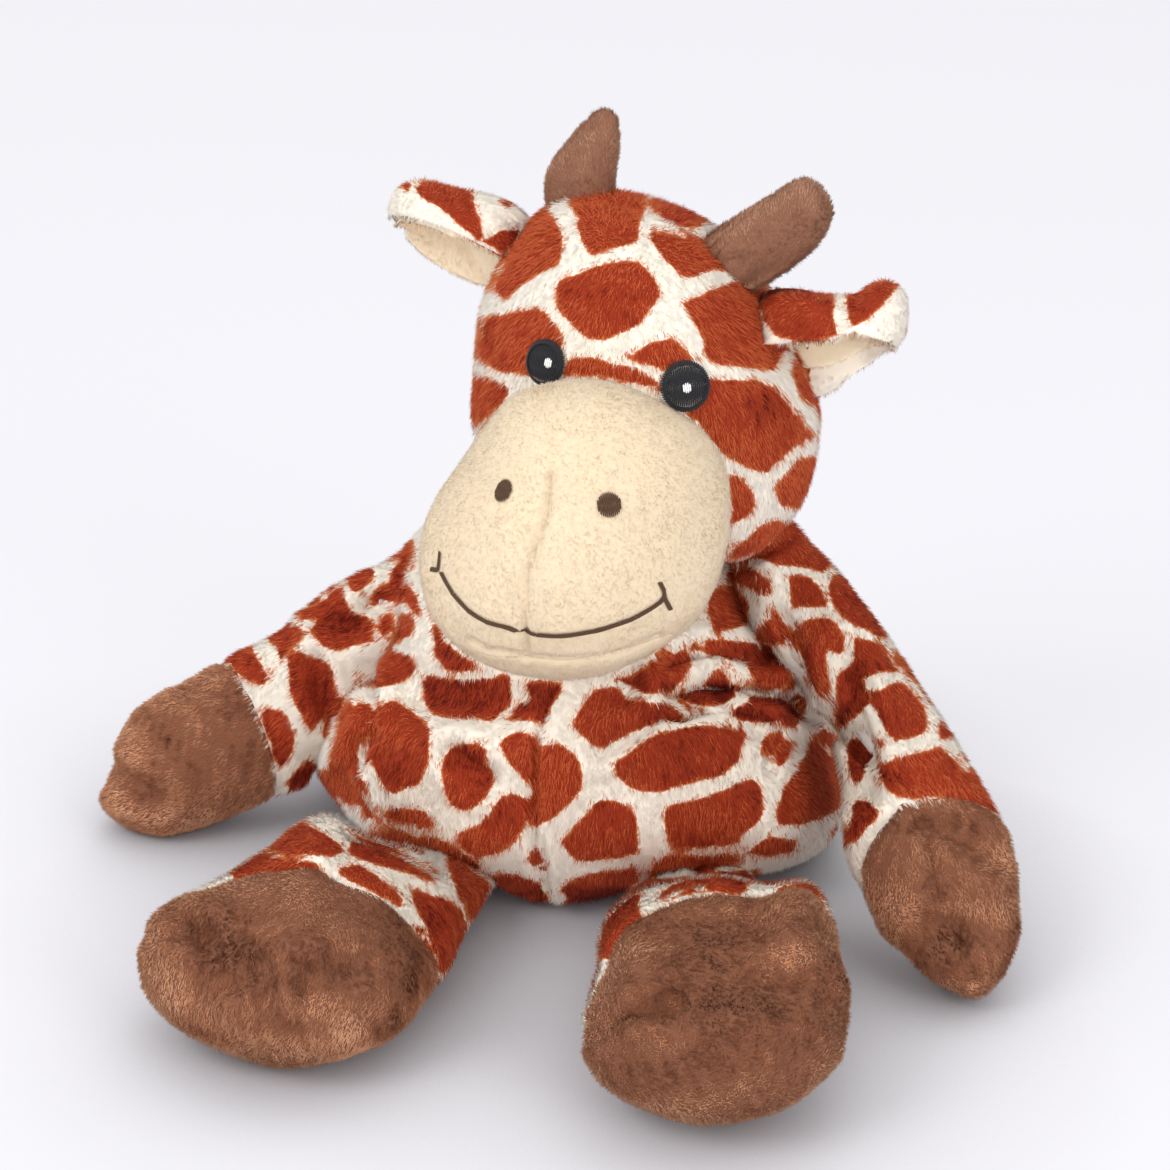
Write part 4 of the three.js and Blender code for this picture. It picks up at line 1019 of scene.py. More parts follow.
for seed, (limb, patches) in enumerate(limb_patches.items()):
    sleeve, hoof = limb + "_sleeve", limb + "_hoof"
    form = soft_form(limb + "_form", copies_of(sleeve, hoof, limb + "_stuffing"), LIMB_GRAIN, LIMB_ROUNDS, PILE_INSET)
    middle, way = seam_through(form, CUFFS[limb], joint_places[limb])
    warps[limb] = []
    if limb.startswith("leg"):
        def sat_on(places, root=joint_places[limb]):
            """Presses a leg's root down, where the torso sits on it."""
            low = 1 - SAT_ON * (1 - smooth_step(np.linalg.norm(places - root, axis=1) / SAT_REACH))
            return np.stack((places[:, 0], places[:, 1], places[:, 2] * low), 1)

        warps[limb].append(sat_on)
        move_to(form, sat_on(places_of(form)))
    warps[limb].append(fit_outline(form, *LIMB_OUTLINES[limb]))
    if limb.startswith("arm"):
        move_to(form, sewn_in(places_of(form), torso_skin, ARM_PULL, ARM_REACH, joint_places[limb], ARM_ROOT))
    made_lumpy(form, LIMB_LUMPS, LIMB_LUMP_SIZE, 30 + seed)
    crease_plane(form, middle, way, CUFF_WIDTH, CUFF_DEPTH)
    pressed(form, LIMB_CREASES[limb])
    set_on_floor(form)
    print_patches(form, patches, ("head", "muzzle", "torso"), seed=40 + seed)
    plush_piece(sleeve, cut_panel(sleeve + "_panel", form, [(middle, -way)]), PRINT, limb,
                bends=limb_bend(limb, middle), nap=0.8 * way + (0, 0, -0.3), seed=50 + seed, spots=LIMB_NAP_AND_SHADE[limb],
                bare=buried_in(torso_skin, deep=5 * MM))
    hoof_panel = cut_panel(hoof + "_panel", form, [(middle, way)])
    hoof_panel.attributes.remove(hoof_panel.attributes["patch"])
    # The hooves' rim setting paints a sheen: pile lighter where the camera sees the hoof edge-on.
    plush_piece(hoof, hoof_panel, HOOF, limb, length=HOOF_PILE, nap=0.8 * way, seed=60 + seed,
                spots=LIMB_NAP_AND_SHADE[limb], lean=1.3, tuft=0.3, rim=1.4, thick=0.17 * MM, per_mm2=3.5)

# ---------------------------------------------------------------------------------------------------------------
# Neck. A short stuffed tube of the print plush between the torso and the head, hidden by the muzzle from in front.
NECK_GRAIN, NECK_ROUNDS, NECK_INSET = 2 * MM, 6, 1 * MM
neck_form = soft_form("neck_form", drawn_tight(copies_of("neck")), NECK_GRAIN, NECK_ROUNDS, NECK_INSET)
print_patches(neck_form, [], ("head", "muzzle"), seed=71)
plush_piece("neck", neck_form, PRINT, "neck", per_mm2=2, seed=72, bare=buried_in(torso_skin, deep=4 * MM))

# ---------------------------------------------------------------------------------------------------------------
# Head. A full dome of print plush in a front and a back panel. The seam between them runs over the top, through
# the roots of the horns and the ears.
HEAD_PATCHES = [
    (540,209, 547,209, 563,236, 563,250, 557,264, 524,284, 506,299, 498,293, 499,281, 508,270, 511,248, 528,223),
    (563,198, 576,185, 640,190, 643,208, 641,221, 635,243, 615,249, 591,255, 587,252, 582,236, 576,215, 569,202),
    (648,208, 664,205, 685,210, 710,221, 708,226, 694,228, 674,226, 660,217),
    (650,231, 665,233, 703,240, 724,248, 737,259, 738,265, 732,270, 715,270, 698,276, 688,278, 682,277, 676,271,
     671,264, 660,255, 654,243),
    (563,278, 585,271, 615,262, 638,261, 646,268, 653,280, 660,293, 653,305, 643,321, 626,332, 606,339, 588,339,
     579,332, 569,321, 557,309, 555,298, 557,287),
    (684,303, 700,296, 721,287, 741,281, 753,283, 762,295, 771,306, 779,318, 782,330, 784,345, 779,362, 773,371,
     753,368, 729,366, 712,362, 706,353, 703,340, 694,321, 687,309),
    (490,321, 500,317, 538,308, 547,315, 556,327, 563,340, 560,352, 540,375, 520,374, 504,373, 494,368, 485,356,
     485,345, 488,330),
    (621,356, 638,351, 653,343, 668,338, 673,339, 682,348, 693,359, 690,365, 662,371, 656,368, 638,362, 626,359),
    (567,361, 579,358, 597,358, 615,364, 635,368, 650,377, 662,386, 662,393, 653,390, 638,384, 621,380, 600,376,
     579,374, 560,377),
    (472,380, 479,376, 488,377, 506,386, 511,390, 507,396, 494,411, 481,426, 473,439, 471,430, 469,409, 469,392),
    (710,378, 732,380, 756,381, 773,389, 785,402, 797,417, 809,436, 803,442, 788,451, 776,464, 766,471, 753,470,
     741,464, 729,458, 721,451, 709,436, 697,420, 685,412, 694,408, 705,395),
    (791,356, 796,351, 798,353, 801,371, 807,383, 815,392, 818,406, 816,421, 809,408, 800,399, 796,386, 791,371),
    (818,442, 813,455, 800,459, 788,471, 776,486, 778,496, 781,505, 803,505, 807,489, 813,465),
    (729,474, 740,476, 747,483, 753,498, 754,506, 744,518, 732,524, 732,503, 731,486),
    (728,548, 745,540, 758,528, 772,520, 790,518, 800,515, 797,527, 782,542, 766,556, 750,562, 736,560, 729,556),
    (478,315, 480,327, 475,348, 470,368, 467,378, 468,362, 471,342, 474,325),
]
HEAD_GRAIN, HEAD_ROUNDS = 2.2 * MM, 30
HEAD_LUMPS, HEAD_LUMP_SIZE = 0.6 * MM, 26 * MM
HEAD_SEAM_WIDTH, HEAD_SEAM_DEPTH = 2 * MM, 1.4 * MM
EYE_BARE = 0.47
HEAD_MIDDLE = (630, 400)
HEAD_OUTLINE = [(470, 390), (474, 350), (483, 300), (495, 270), (510, 245), (528, 222), (540, 208), (560, 197),
                (587, 188), (620, 188), (650, 196), (680, 205), (705, 217), (727, 235), (748, 257), (769, 283),
                (783, 315), (792, 338), (806, 365), (817, 400), (820, 430), (814, 470), (800, 510), (785, 530),
                (768, 547), (750, 557), (733, 562)]
# Where the head's pile is painted darker or lighter: partly its nap, partly painted shade and painted light; the
# widest spot lightens the whole face.
HEAD_NAP_AND_SHADE = [(610, 292, 40, 22, 0.7), (745, 330, 36, 26, 0.1), (540, 345, 30, 20, 0.1), (620, 215, 40, 22, -0.5),
            (770, 440, 50, 20, 0.2), (700, 262, 40, 14, -0.5), (535, 250, 22, 36, -0.6), (790, 480, 20, 30, -0.7),
            (640, 320, 220, 180, -0.35)]
head_form = soft_form("head_form", drawn_tight(copies_of("head_front", "head_back")), HEAD_GRAIN, HEAD_ROUNDS,
                      PILE_INSET)
warps["head"] = [fit_outline(head_form, HEAD_MIDDLE, HEAD_OUTLINE)]
head_seam, head_back_way = seam_between("head_front", "head_back")
crease_plane(head_form, head_seam, head_back_way, HEAD_SEAM_WIDTH, HEAD_SEAM_DEPTH)
made_lumpy(head_form, HEAD_LUMPS, HEAD_LUMP_SIZE, 80)
print_patches(head_form, HEAD_PATCHES, ("muzzle", "horn", "ear"), seed=81)

# Each eye's middle, its width, and the middle of its highlight.
EYES = {"left": ((684.5, 386), 13.2 * MM, (687, 388)), "right": ((547, 362.5), 12.0 * MM, (548, 363))}
head_skin = skin_of(head_form)
eye_places = {side: [np.array(found) for found in head_skin.ray_cast(Vector(camera_place), ray_through(eye[0]))[:2]]
              for side, eye in EYES.items()}


def under_eyes(roots):
    """Where the eyes are stitched through the pile."""
    return np.any([np.linalg.norm(roots - middle, axis=1) < EYES[side][1] * EYE_BARE
                   for side, (middle, _) in eye_places.items()], axis=0)


muzzle_bag = drawn_tight(copies_of("muzzle_upper", "muzzle_chin"))
bmesh.ops.recalc_face_normals(muzzle_bag, faces=muzzle_bag.faces)
under_muzzle = BVHTree.FromBMesh(muzzle_bag)
for seed, (node, way) in enumerate((("head_front", -head_back_way), ("head_back", head_back_way))):
    plush_piece(node, cut_panel(node + "_panel", head_form, [(head_seam, way)]), PRINT, "head", fill=0.8,
                seed=82 + seed, spots=HEAD_NAP_AND_SHADE, bare=buried_in(under_muzzle, deep=4 * MM, also=under_eyes))

# ---------------------------------------------------------------------------------------------------------------
# Muzzle. Short beige plush over the head's own stuffing: an upper panel with a dart seam down its middle, and a chin
# panel below the mouth.
MUZZLE_PILE = 1.3 * MM
MUZZLE_GRAIN, MUZZLE_ROUNDS, MUZZLE_INSET = 1.2 * MM, 60, 0.2 * MM
MUZZLE_ROOT = 0.3
SEAM_BARE = 1.3
SMILE_BARE, NOSTRIL_BARE = 0.9 * MM, 2.6 * MM
MUZZLE_CLOTH = shader("muzzle_cloth", (230, 209, 176))
MUZZLE_SHADES = shades_of("muzzle_pile", (244, 229, 206), (236, 217, 190), (226, 204, 172), (208, 184, 150))
MUZZLE = (MUZZLE_CLOTH, MUZZLE_SHADES, mottled_shade, "muzzle_plush")
DART = [(550, 475), (547, 514), (538, 542), (531, 560), (526, 581), (526, 604), (526, 627), (527, 655)]
CHIN_SEAM = [(470, 640), (485, 649), (529, 657), (561, 660), (595, 658), (630, 651), (660, 636)]
MUZZLE_SEAMS = ((DART, 5.0, 1.2, 0.1), (DART, 0.9, 1.5, 0.15), (CHIN_SEAM, 0.9, 1.0, 0.1))
MUZZLE_MIDDLE = (575, 530)
MUZZLE_OUTLINE = [(532, 384), (561, 378), (595, 374), (630, 380), (661, 394), (687, 411), (710, 432), (726, 459),
                  (733, 496), (731, 535), (724, 570), (710, 604), (694, 627), (652, 657), (607, 677), (572, 683),
                  (538, 681), (503, 674), (469, 659), (446, 641), (425, 611), (417, 570), (418, 535), (434, 496),
                  (453, 469), (476, 434), (510, 393), (532, 384)]
head_middle = places_of(head_form).mean(0)
muzzle_solid = copies_of("muzzle_upper", "muzzle_chin")
for vert in muzzle_solid.verts[:]:
    muzzle_solid.verts.new(vert.co.lerp(Vector(head_middle), MUZZLE_ROOT))
muzzle_form = soft_form("muzzle_form", drawn_tight(muzzle_solid), MUZZLE_GRAIN, MUZZLE_ROUNDS, MUZZLE_INSET)
fit_outline(muzzle_form, MUZZLE_MIDDLE, MUZZLE_OUTLINE)
for path, width, depth, ridge in MUZZLE_SEAMS:
    crease(muzzle_form, path, width * MM, depth * MM, ridge)
muzzle_skin = skin_of(muzzle_form)


def on_muzzle(pixel):
    """Where a place in the photograph lies on the muzzle, and the way its cloth faces there."""
    place, normal, _, _ = muzzle_skin.ray_cast(Vector(camera_place), ray_through(pixel))
    return np.array(place), np.array(normal)


SMILE = [(442, 572), (453, 592), (469, 610), (487, 621), (506, 626), (527, 629), (538, 634), (561, 635), (595, 630),
         (630, 619), (659, 602), (664, 596)]
SMILE_TICKS = [[(441, 552), (440, 562), (439, 570), (432, 569)], [(659, 582), (663, 590), (664, 598), (670, 609)]]
NOSTRILS = {"right": (504, 491), "left": (609, 505)}


def under_stitches(roots):
    """Where the face's stitches lie on the muzzle, which have no pile through them."""
    bare = np.zeros(len(roots), bool)
    for path in (SMILE, *SMILE_TICKS):
        laid = [on_muzzle(p)[0] for p in path]
        for a, b in zip(laid[:-1], laid[1:]):
            run = b - a
            share = np.clip(((roots - a) @ run) / (run @ run), 0, 1)[:, None]
            bare |= np.linalg.norm(roots - a - share * run, axis=1) < SMILE_BARE
    for path in (DART, CHIN_SEAM):
        bare |= off_path(in_photo(roots)[0], path) < SEAM_BARE
    for pixel in NOSTRILS.values():
        bare |= np.linalg.norm(roots - on_muzzle(pixel)[0], axis=1) < NOSTRIL_BARE
    return bare


chin_seam, chin_way = seam_between("muzzle_upper", "muzzle_chin")
for seed, (node, way) in enumerate((("muzzle_upper", -chin_way), ("muzzle_chin", chin_way))):
    plush_piece(node, cut_panel(node + "_panel", muzzle_form, [(chin_seam, way)]), MUZZLE, "head", fill=0.8,
                length=MUZZLE_PILE, lean=1.1, tuft=0.6, seed=92 + seed,
                bare=buried_in(head_skin, also=under_stitches))

# ---------------------------------------------------------------------------------------------------------------
# Eyes, nostrils and smile. They are embroidered: rows of thread for the discs, a ring of short stitches round each
# eye, white stitches for its highlight, and slanted satin stitches along the smile.
THREAD = 0.28 * MM
ROW_STEP, ROW_REACH, ROW_LAP, ROW_FALL = 1.7, 0.95, 0.12, 0.3
EYE_THREAD = shader("eye_thread", (34, 34, 38), roughness=0.55, sheen=0.1)
WHITE_THREAD = shader("white_thread", (244, 244, 242), roughness=0.6, sheen=0.1)
BROWN_THREAD = shader("brown_thread", (84, 58, 38), roughness=0.65, sheen=0.1)


def stitch(bm, start, end, radius, flat=0.7, up=(0, 0, 1)):
    """One stitch of thread from start to end."""
    start, end = Vector(start), Vector(end)
    along = (end - start).normalized()
    side = along.cross(Vector(up)).normalized()
    rise = side.cross(along)
    reach = (end - start).length / 2 + radius
    turn = Matrix((side, rise, along)).transposed() @ Matrix.Diagonal((radius, radius * flat, reach))
    place = Matrix.Translation((start + end) / 2) @ turn.to_4x4()
    bmesh.ops.create_uvsphere(bm, u_segments=6, v_segments=4, radius=1, matrix=place)


def stitched_disc(bm, middle, out, across, along, width, tall, dome, radius=THREAD):
    """Rows of thread that fill an oval, a little domed."""
    rows = int(width / (ROW_STEP * radius))
    for row in range(rows):
        share = (row + 0.5) / rows * 2 - 1
        reach = math.sqrt(1 - share * share)
        centre = middle + across * share * width / 2 + out * dome * (reach - 0.5)
        half_row = along * reach * tall / 2
        fall = out * dome * ROW_FALL * reach
        stitch(bm, centre - half_row * ROW_REACH - fall, centre + half_row * ROW_LAP, radius, up=out)
        stitch(bm, centre - half_row * ROW_LAP, centre + half_row * ROW_REACH - fall, radius, up=out)


def embroidered(name, stitches, thread, node):
    """The stitches in a mesh, as a piece of the head that stands for a node."""
    obj = linked(name, mesh_of(name, stitches))
    finish_piece(obj, [thread], "head")
    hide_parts(node)


def across_and_up(out):
    """Two ways across a place of the face, level and upright, from the way out of it."""
    level = np.cross(out, (0, 0, 1))
    level /= np.linalg.norm(level)
    return level, np.cross(level, out)


NOSTRIL_SIZES = {"left": (6.0 * MM, 6.6 * MM), "right": (4.8 * MM, 6.2 * MM)}
EYE_RISE, EYE_LIFT, EYE_DISC = 0.5 * MM, 1.5 * MM, 0.86
RING_STITCHES, RING_INNER, RING_OUTER, RING_THREAD = 66, 0.41, 0.49, 0.34 * MM
RING_LIFT, RING_SLANT, RING_DIP = 0.35 * MM, 0.3 * MM, 0.6 * MM
HIGHLIGHT_SIZE, HIGHLIGHT_RISE = (2.2 * MM, 2.4 * MM), 0.2 * MM
NOSTRIL_RISE = 0.4 * MM
for side, (_, width, highlight_pixel) in EYES.items():
    middle, out = eye_places[side]
    middle = middle + out * EYE_LIFT
    first, second = across_and_up(out)
    disc = bmesh.new()
    stitched_disc(disc, middle, out, first, second, width * EYE_DISC, width * EYE_DISC, EYE_RISE)
    for i in range(RING_STITCHES):
        turn = 2 * math.pi * i / RING_STITCHES
        ray = math.cos(turn) * first + math.sin(turn) * second
        ahead = -math.sin(turn) * first + math.cos(turn) * second
        inner = middle + ray * width * RING_INNER + out * RING_LIFT
        outer = middle + ray * width * RING_OUTER + ahead * RING_SLANT - out * RING_DIP
        stitch(disc, inner, outer, RING_THREAD, up=out)
    embroidered(f"eye_{side}_stitching", disc, EYE_THREAD, f"eye_{side}")
    ray = np.array(ray_through(highlight_pixel))
    lifted = middle + out * (EYE_RISE * 0.5 + RING_LIFT)
    spot_place = camera_place + ray * (((lifted - camera_place) @ out) / (ray @ out))
    dot = bmesh.new()
    stitched_disc(dot, spot_place, out, first, second, *HIGHLIGHT_SIZE, HIGHLIGHT_RISE)
    embroidered(f"eye_highlight_{side}_stitching", dot, WHITE_THREAD, f"eye_highlight_{side}")
    place, out = on_muzzle(NOSTRILS[side])
    spot = bmesh.new()
    stitched_disc(spot, place + out * NOSTRIL_RISE, out, *across_and_up(out), *NOSTRIL_SIZES[side], NOSTRIL_RISE)
    embroidered(f"nostril_{side}_stitching", spot, BROWN_THREAD, f"nostril_{side}")

SMILE_WIDTH, TICK_WIDTH, SMILE_STEP = 1.5 * MM, 1.1 * MM, 0.55 * MM
SMILE_LIFT, SMILE_THREAD = 0.45 * MM, 0.34 * MM
ACROSS_LINE, ALONG_LINE, STITCH_HALF = 0.8, 0.5, 0.4
smile = bmesh.new()
for path, width in ((SMILE, SMILE_WIDTH), (SMILE_TICKS[0], TICK_WIDTH), (SMILE_TICKS[1], TICK_WIDTH)):
    laid = [on_muzzle(p) for p in path]
    for (a, out_a), (b, out_b) in zip(laid[:-1], laid[1:]):
        steps = max(1, round(np.linalg.norm(b - a) / SMILE_STEP))
        for step in range(steps):
            share = (step + 0.5) / steps
            place, out = a + (b - a) * share, out_a + (out_b - out_a) * share
            place = np.array(muzzle_skin.find_nearest(Vector(place))[0]) + out * SMILE_LIFT
            run = (b - a) / np.linalg.norm(b - a)
            across = np.cross(out, run) * ACROSS_LINE + run * ALONG_LINE
            half_stitch = across / np.linalg.norm(across) * width * STITCH_HALF
            stitch(smile, place - half_stitch, place + half_stitch, SMILE_THREAD, up=out)
embroidered("smile_stitches", smile, BROWN_THREAD, "smile_stitching")

# ---------------------------------------------------------------------------------------------------------------
# Horns. Stuffed cones of brown plush, caught in the seam over the top of the head. The left one is blunt, the right
# one comes to a point.
HORN_CLOTH = shader("horn_cloth", (138, 96, 74))
HORN_SHADES = shades_of("horn_pile", (190, 144, 116), (170, 122, 96), (150, 104, 80), (122, 80, 58))
HORN = (HORN_CLOTH, HORN_SHADES, mottled_shade, "horn_plush")
HORN_OUTLINES = {
    "left": ((790, 222), [(725, 215), (744, 206), (769, 193), (795, 177), (808, 175), (823, 184), (832, 197),
                          (836, 212), (830, 232), (818, 250), (800, 265), (785, 275), (772, 280)]),
    "right": ((585, 158), [(538, 200), (541, 179), (552, 157), (563, 142), (581, 122), (597, 108), (606, 105),
                           (618, 113), (621, 130), (622, 150), (618, 176), (616, 192)]),
}
# Where the horns' pile is painted darker or lighter: partly its nap, partly painted shade at the roots and painted
# light.
HORN_NAP_AND_SHADE = {
    "left": [(800, 192, 32, 14, -0.7), (790, 232, 40, 22, 0.4), (765, 258, 26, 14, 0.6), (742, 214, 24, 9, -0.4)],
    "right": [(610, 120, 12, 12, 0.4), (580, 150, 26, 22, -0.6), (576, 190, 40, 14, 0.8), (612, 155, 8, 30, -0.4)],
}
HORN_PULLS = {"left": (9 * MM, 20 * MM), "right": (4 * MM, 9 * MM)}
HORN_PILE = 1.7 * MM
HORN_GRAIN, HORN_ROUNDS = 1.2 * MM, 10
for seed, side in enumerate(("left", "right")):
    horn_form = soft_form(f"horn_{side}_form", drawn_tight(copies_of(f"horn_{side}")), HORN_GRAIN, HORN_ROUNDS,
                          PILE_INSET)
    fit_outline(horn_form, *HORN_OUTLINES[side])
    move_to(horn_form, sewn_in(places_of(horn_form), head_skin, *HORN_PULLS[side]))
    # The horns' rim setting paints a sheen: pile lighter where the camera sees the horn edge-on.
    plush_piece(f"horn_{side}", horn_form, HORN, "head", fill=0.9, wall=0, length=HORN_PILE, per_mm2=4,
                seed=110 + seed, nap=(0, 0, 0.6), spots=HORN_NAP_AND_SHADE[side], lean=1.5, tuft=0.35, rim=0.7,
                thick=0.15 * MM, bare=buried_in(head_skin))

# ---------------------------------------------------------------------------------------------------------------
# Ears. Folded leaves, each an outer leaf of print plush over a lining of cream plush, caught in the head's seam. The
# left one's outer leaf droops a little in front of its lining.
EAR_PATCHES = {
    "right": [
        (418,189, 423,186, 435,184, 445,183, 458,187, 468,191, 472,200, 477,212, 482,222, 482,237, 478,239, 472,234,
         460,226, 447,214, 433,203, 420,197),
        (399,182, 410,180, 418,177, 413,182, 407,190, 404,188),
        (495,195, 507,198, 514,202, 507,209, 502,205),
        (484,241, 500,232, 517,231, 517,240, 510,248, 501,254, 493,247),
    ],
    "left": [
        (752,286, 770,278, 785,276, 798,281, 815,286, 832,292, 833,303, 833,318, 838,335, 827,338, 810,340, 795,340,
         782,338, 764,332, 755,312),
        (848,293, 860,294, 867,288, 877,282, 887,278, 895,279, 897,285, 890,297, 880,307, 868,317, 853,328, 848,318,
         848,308),
    ],
}
LINING_CLOTH = shader("lining_cloth", (255, 238, 206))
LINING_SHADES = shades_of("lining_pile", (255, 244, 218), (253, 238, 208), (248, 230, 196), (240, 218, 180))
LINING = (LINING_CLOTH, LINING_SHADES, mottled_shade, "cream_plush")
EAR_OUTLINES = {
    "right": ((450, 232), [(490, 275), (483, 289), (470, 284), (449, 276), (430, 265), (414, 252), (400, 237),
                           (389, 221), (386, 207), (391, 190), (401, 181), (421, 177), (445, 182), (463, 187),
                           (490, 193), (510, 198), (524, 206), (520, 232), (504, 260), (490, 278)]),
    "left": ((850, 336), [(785, 280), (800, 282), (820, 287), (833, 290), (848, 292), (860, 291), (870, 284),
                          (882, 278), (895, 279), (906, 288), (910, 302), (910, 320), (907, 336), (898, 348),
                          (885, 359), (871, 369), (855, 377), (839, 380), (825, 379), (812, 375), (795, 352),
                          (786, 330), (778, 305), (785, 280)]),
}
ROOT_PULLS = {"left": (11 * MM, 24 * MM), "right": (6 * MM, 14 * MM)}
LEAF_GRAIN, LEAF_ROUNDS, LEAF_INSET = 0.58 * MM, 4, 0.25 * MM
OUTER_PILE, LINING_PILE = 2.0 * MM, 1.5 * MM
LEAVES_TOUCH = 1.1 * MM
LEAF_EXTRA = 0.4 * MM
EAR_BEND = 8 * MM
LINING_TUCK = {"left": 1.7 * MM, "right": 0}
LINING_ROUNDS = 8
LEAF_DROP = 3 * MM
DROP_BELOW, DROP_OVER = 296, 34
DROP_LEFT_OF, DROP_FADE = 830, 26


def smoothed(mesh, rounds):
    """Evens out the thin spikes on a form's edge."""
    bm = editable(mesh)
    for _ in range(rounds):
        bmesh.ops.smooth_vert(bm, verts=bm.verts, factor=0.5, use_axis_x=True, use_axis_y=True, use_axis_z=True)
    written(bm, mesh)


def thick_leaf(node):
    """A node made a little thicker, so that the remesh keeps all of its thin leaf."""
    bm = copies_of(node)
    bm.normal_update()
    for vert, way in [(v, v.normal.copy()) for v in bm.verts]:
        vert.co += way * LEAF_EXTRA
    return bm


for seed, side in enumerate(("left", "right")):
    leaves = {part: soft_form(f"ear_{side}_{part}_form", thick_leaf(f"ear_{side}_{part}"), LEAF_GRAIN, LEAF_ROUNDS,
                              LEAF_INSET)
              for part in ("outer", "lining")}
    move_to(leaves["lining"], places_of(leaves["lining"]) + LINING_TUCK[side] * camera_up)
    fitted = outline_fit(np.vstack([places_of(leaf) for leaf in leaves.values()]), *EAR_OUTLINES[side])
    root = joint_places[f"ear_{side}"]
    outward = places_of(leaves["outer"]).mean(0) - root
    outward /= np.linalg.norm(outward)
    bends = ("head", f"ear_{side}", root - EAR_BEND * outward, root + EAR_BEND * outward)
    for part, patches in (("outer", EAR_PATCHES[side]), ("lining", None)):
        node = f"ear_{side}_{part}"
        other = copies_of(f"ear_{side}_" + ("lining" if part == "outer" else "outer"))
        for vert, place in zip(other.verts, fitted(np.array([v.co for v in other.verts]))):
            vert.co = place
        facing_leaf = BVHTree.FromBMesh(other)
        leaf = leaves[part]
        move_to(leaf, sewn_in(fitted(places_of(leaf)), head_skin, *ROOT_PULLS[side]))
        if part == "lining":
            smoothed(leaf, LINING_ROUNDS)
        elif side == "left":
            places = places_of(leaf)
            across, down = in_photo(places)[0].T
            share = smooth_step((down - DROP_BELOW) / DROP_OVER)
            share *= 1 - smooth_step((across - DROP_LEFT_OF) / DROP_FADE)
            move_to(leaf, places - (LEAF_DROP * share)[:, None] * camera_up)
        if patches:
            print_patches(leaf, patches, ("head",), seed=120 + seed)

        def laid_together(roots, facing_leaf=facing_leaf, leaf=leaf):
            """Where the two leaves lie on each other, with no pile between them."""
            own = skin_of(leaf)
            bare = np.zeros(len(roots), bool)
            for i, place in enumerate(map(Vector, roots)):
                there, _, _, away = facing_leaf.find_nearest(place)
                bare[i] = away < LEAVES_TOUCH and (there - place).dot(own.find_nearest(place)[1]) > 0.5 * away
            return bare

        plush_piece(node, leaf, PRINT if patches else LINING, f"ear_{side}", fill=0.2, wall=0, bends=bends,
                    length=OUTER_PILE if patches else LINING_PILE, seed=124 + seed,
                    bare=buried_in(head_skin, deep=4 * MM, also=laid_together))

# ---------------------------------------------------------------------------------------------------------------
# Stuffing. Loose white fibre fills the torso, the head and each limb, and a bag of pellets weights the seat.
FILLING = shader("white_filling", (240, 238, 232))
POUCH = shader("pouch_weave", (206, 200, 184))
WAD_GRAIN, WAD_ROUNDS, WAD_INSET = 4 * MM, 5, 2.5 * MM
WAD_LUMPS, WAD_LUMP_SIZE = 0.7 * MM, 12 * MM
for seed, (node, body) in enumerate((("torso_stuffing", "torso"), ("bean_pouch", "torso"), ("head_stuffing", "head"),
                                     ("arm_left_stuffing", "arm_left"), ("arm_right_stuffing", "arm_right"),
                                     ("leg_left_stuffing", "leg_left"), ("leg_right_stuffing", "leg_right"))):
    wad = soft_form(node + "_wad", copies_of(node), WAD_GRAIN, WAD_ROUNDS, WAD_INSET)
    for warp in warps[body]:
        move_to(wad, warp(places_of(wad)))
    bends = limb_bend(body, places_of(wad).mean(0)) if body in LIMB_OUTLINES else None
    made_lumpy(wad, WAD_LUMPS, WAD_LUMP_SIZE, 140 + seed)
    pouch = node == "bean_pouch"
    cloth_piece(node + "_wad", wad, POUCH if pouch else FILLING, body, [node],
                bends=bends, wall=0)

# ---------------------------------------------------------------------------------------------------------------
# The studio: a pale floor, its glow for the camera darkened near the toy by ambient occlusion as a painted shadow,
# and soft light from a large lamp on the left, weaker ones on the right, above and in front, and the room's own light
# all round.
FLOOR_SIZE = 8
FLOOR_COLOUR, FLOOR_GLOW, GLOW_SHARE = (0.8, 0.79, 0.83, 1), (0.975, 0.965, 1, 1), 0.62
SHADE_REACH, SHADE_DEPTH = 0.08, 1.4
ROOM_COLOUR, ROOM_STRENGTH = (0.94, 0.95, 1, 1), 0.62
LAMPS_AIM = (0, 0, 0.08)
LAMPS = {"left_lamp": ((-0.9, -0.9, 1.3), 0.9, 15), "right_lamp": ((1.2, -0.9, 0.8), 0.9, 10),
         "top_lamp": ((0.1, 0.5, 1.6), 1.0, 4), "front_lamp": ((0.1, -1.4, 0.35), 0.8, 3)}
stage_mesh = bmesh.new()
bmesh.ops.create_grid(stage_mesh, x_segments=1, y_segments=1, size=FLOOR_SIZE / 2)
floor = linked("floor", mesh_of("floor", stage_mesh))
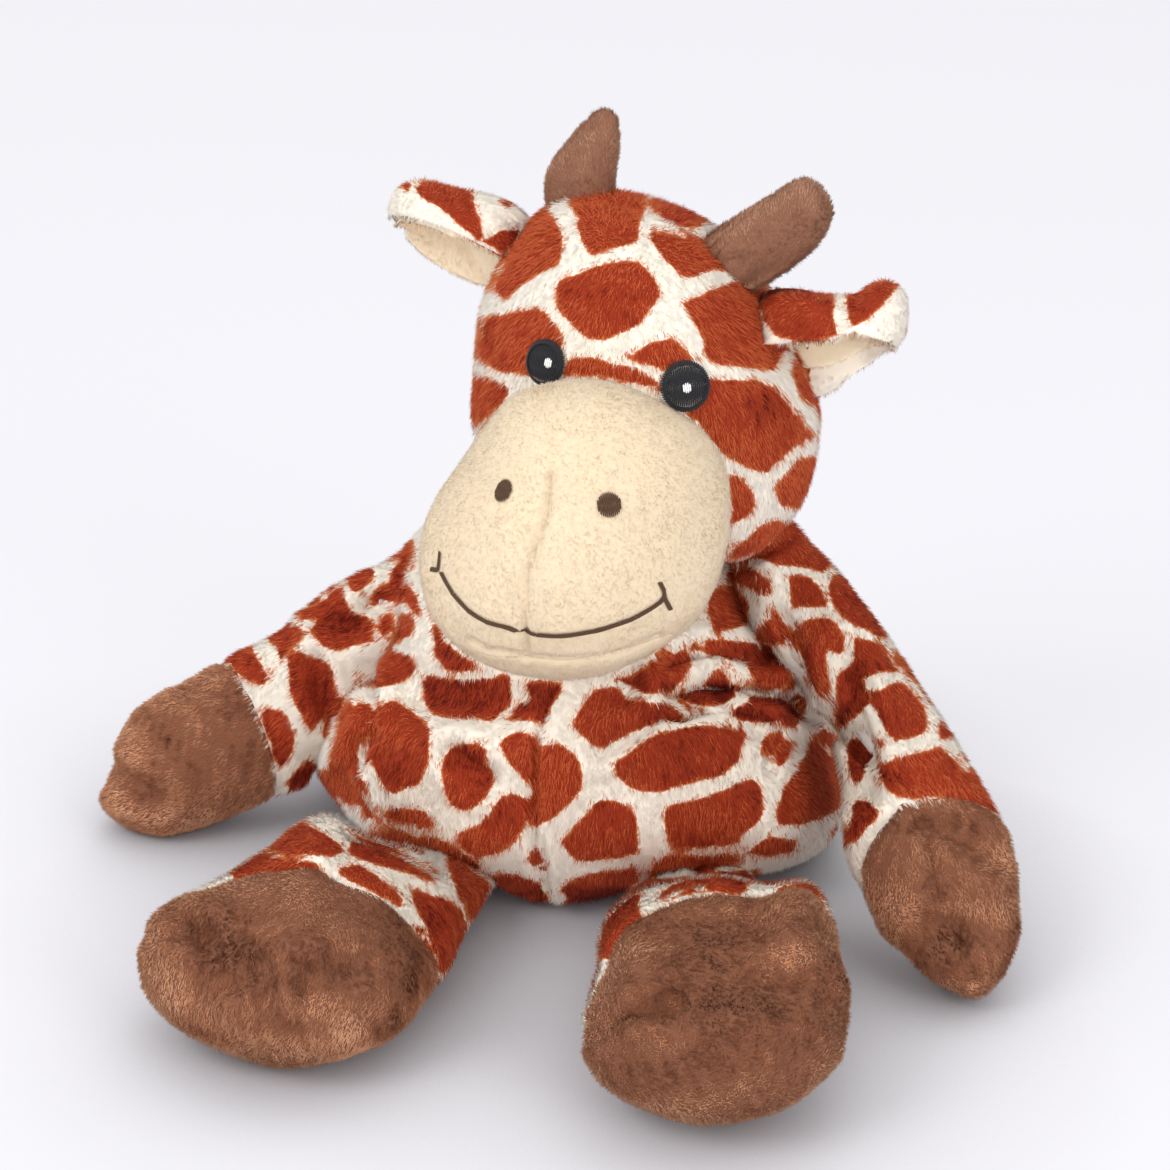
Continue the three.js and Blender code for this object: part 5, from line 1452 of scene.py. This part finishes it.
floor_paint = bpy.data.materials.new("floor_paint")
floor_paint.use_nodes = True
tree = floor_paint.node_tree
paint = tree.nodes["Principled BSDF"]
paint.inputs["Base Color"].default_value = FLOOR_COLOUR
paint.inputs["Roughness"].default_value = 0.9
paint.inputs["Specular IOR Level"].default_value = 0.1
glow, mixed, rays = (tree.nodes.new("ShaderNodeEmission"), tree.nodes.new("ShaderNodeMixShader"),
                     tree.nodes.new("ShaderNodeLightPath"))
glow.inputs["Color"].default_value = FLOOR_GLOW
# Ambient occlusion dims the floor's glow near the toy: a painted contact shadow.
painted_shadow_ao, painted_shadow_falloff = tree.nodes.new("ShaderNodeAmbientOcclusion"), tree.nodes.new("ShaderNodeMath")
painted_shadow_ao.samples = 8
painted_shadow_ao.inputs["Distance"].default_value = SHADE_REACH
painted_shadow_falloff.operation = "POWER"
painted_shadow_falloff.inputs[1].default_value = SHADE_DEPTH
share_of = tree.nodes.new("ShaderNodeMath")
share_of.operation = "MULTIPLY"
share_of.inputs[1].default_value = GLOW_SHARE
for a, b in ((painted_shadow_ao.outputs["AO"], painted_shadow_falloff.inputs[0]), (painted_shadow_falloff.outputs[0], glow.inputs["Strength"]),
             (rays.outputs["Is Camera Ray"], share_of.inputs[0]), (share_of.outputs[0], mixed.inputs["Fac"]),
             (paint.outputs[0], mixed.inputs[1]), (glow.outputs[0], mixed.inputs[2]),
             (mixed.outputs[0], tree.nodes["Material Output"].inputs["Surface"])):
    tree.links.new(a, b)
floor.data.materials.append(floor_paint)

world = bpy.data.worlds.new("room")
bpy.context.scene.world = world
world.use_nodes = True
world.node_tree.nodes["Background"].inputs["Color"].default_value = ROOM_COLOUR
world.node_tree.nodes["Background"].inputs["Strength"].default_value = ROOM_STRENGTH
for name, (place, size, power) in LAMPS.items():
    lamp = bpy.data.objects.new(name, bpy.data.lights.new(name, "AREA"))
    lamp.data.shape, lamp.data.size, lamp.data.energy = "DISK", size, power
    lamp.location = place
    lamp.rotation_mode = "QUATERNION"
    lamp.rotation_quaternion = (Vector(place) - Vector(LAMPS_AIM)).to_track_quat("Z", "Y")
    bpy.context.scene.collection.objects.link(lamp)

bpy.context.scene.view_settings.view_transform = "Standard"
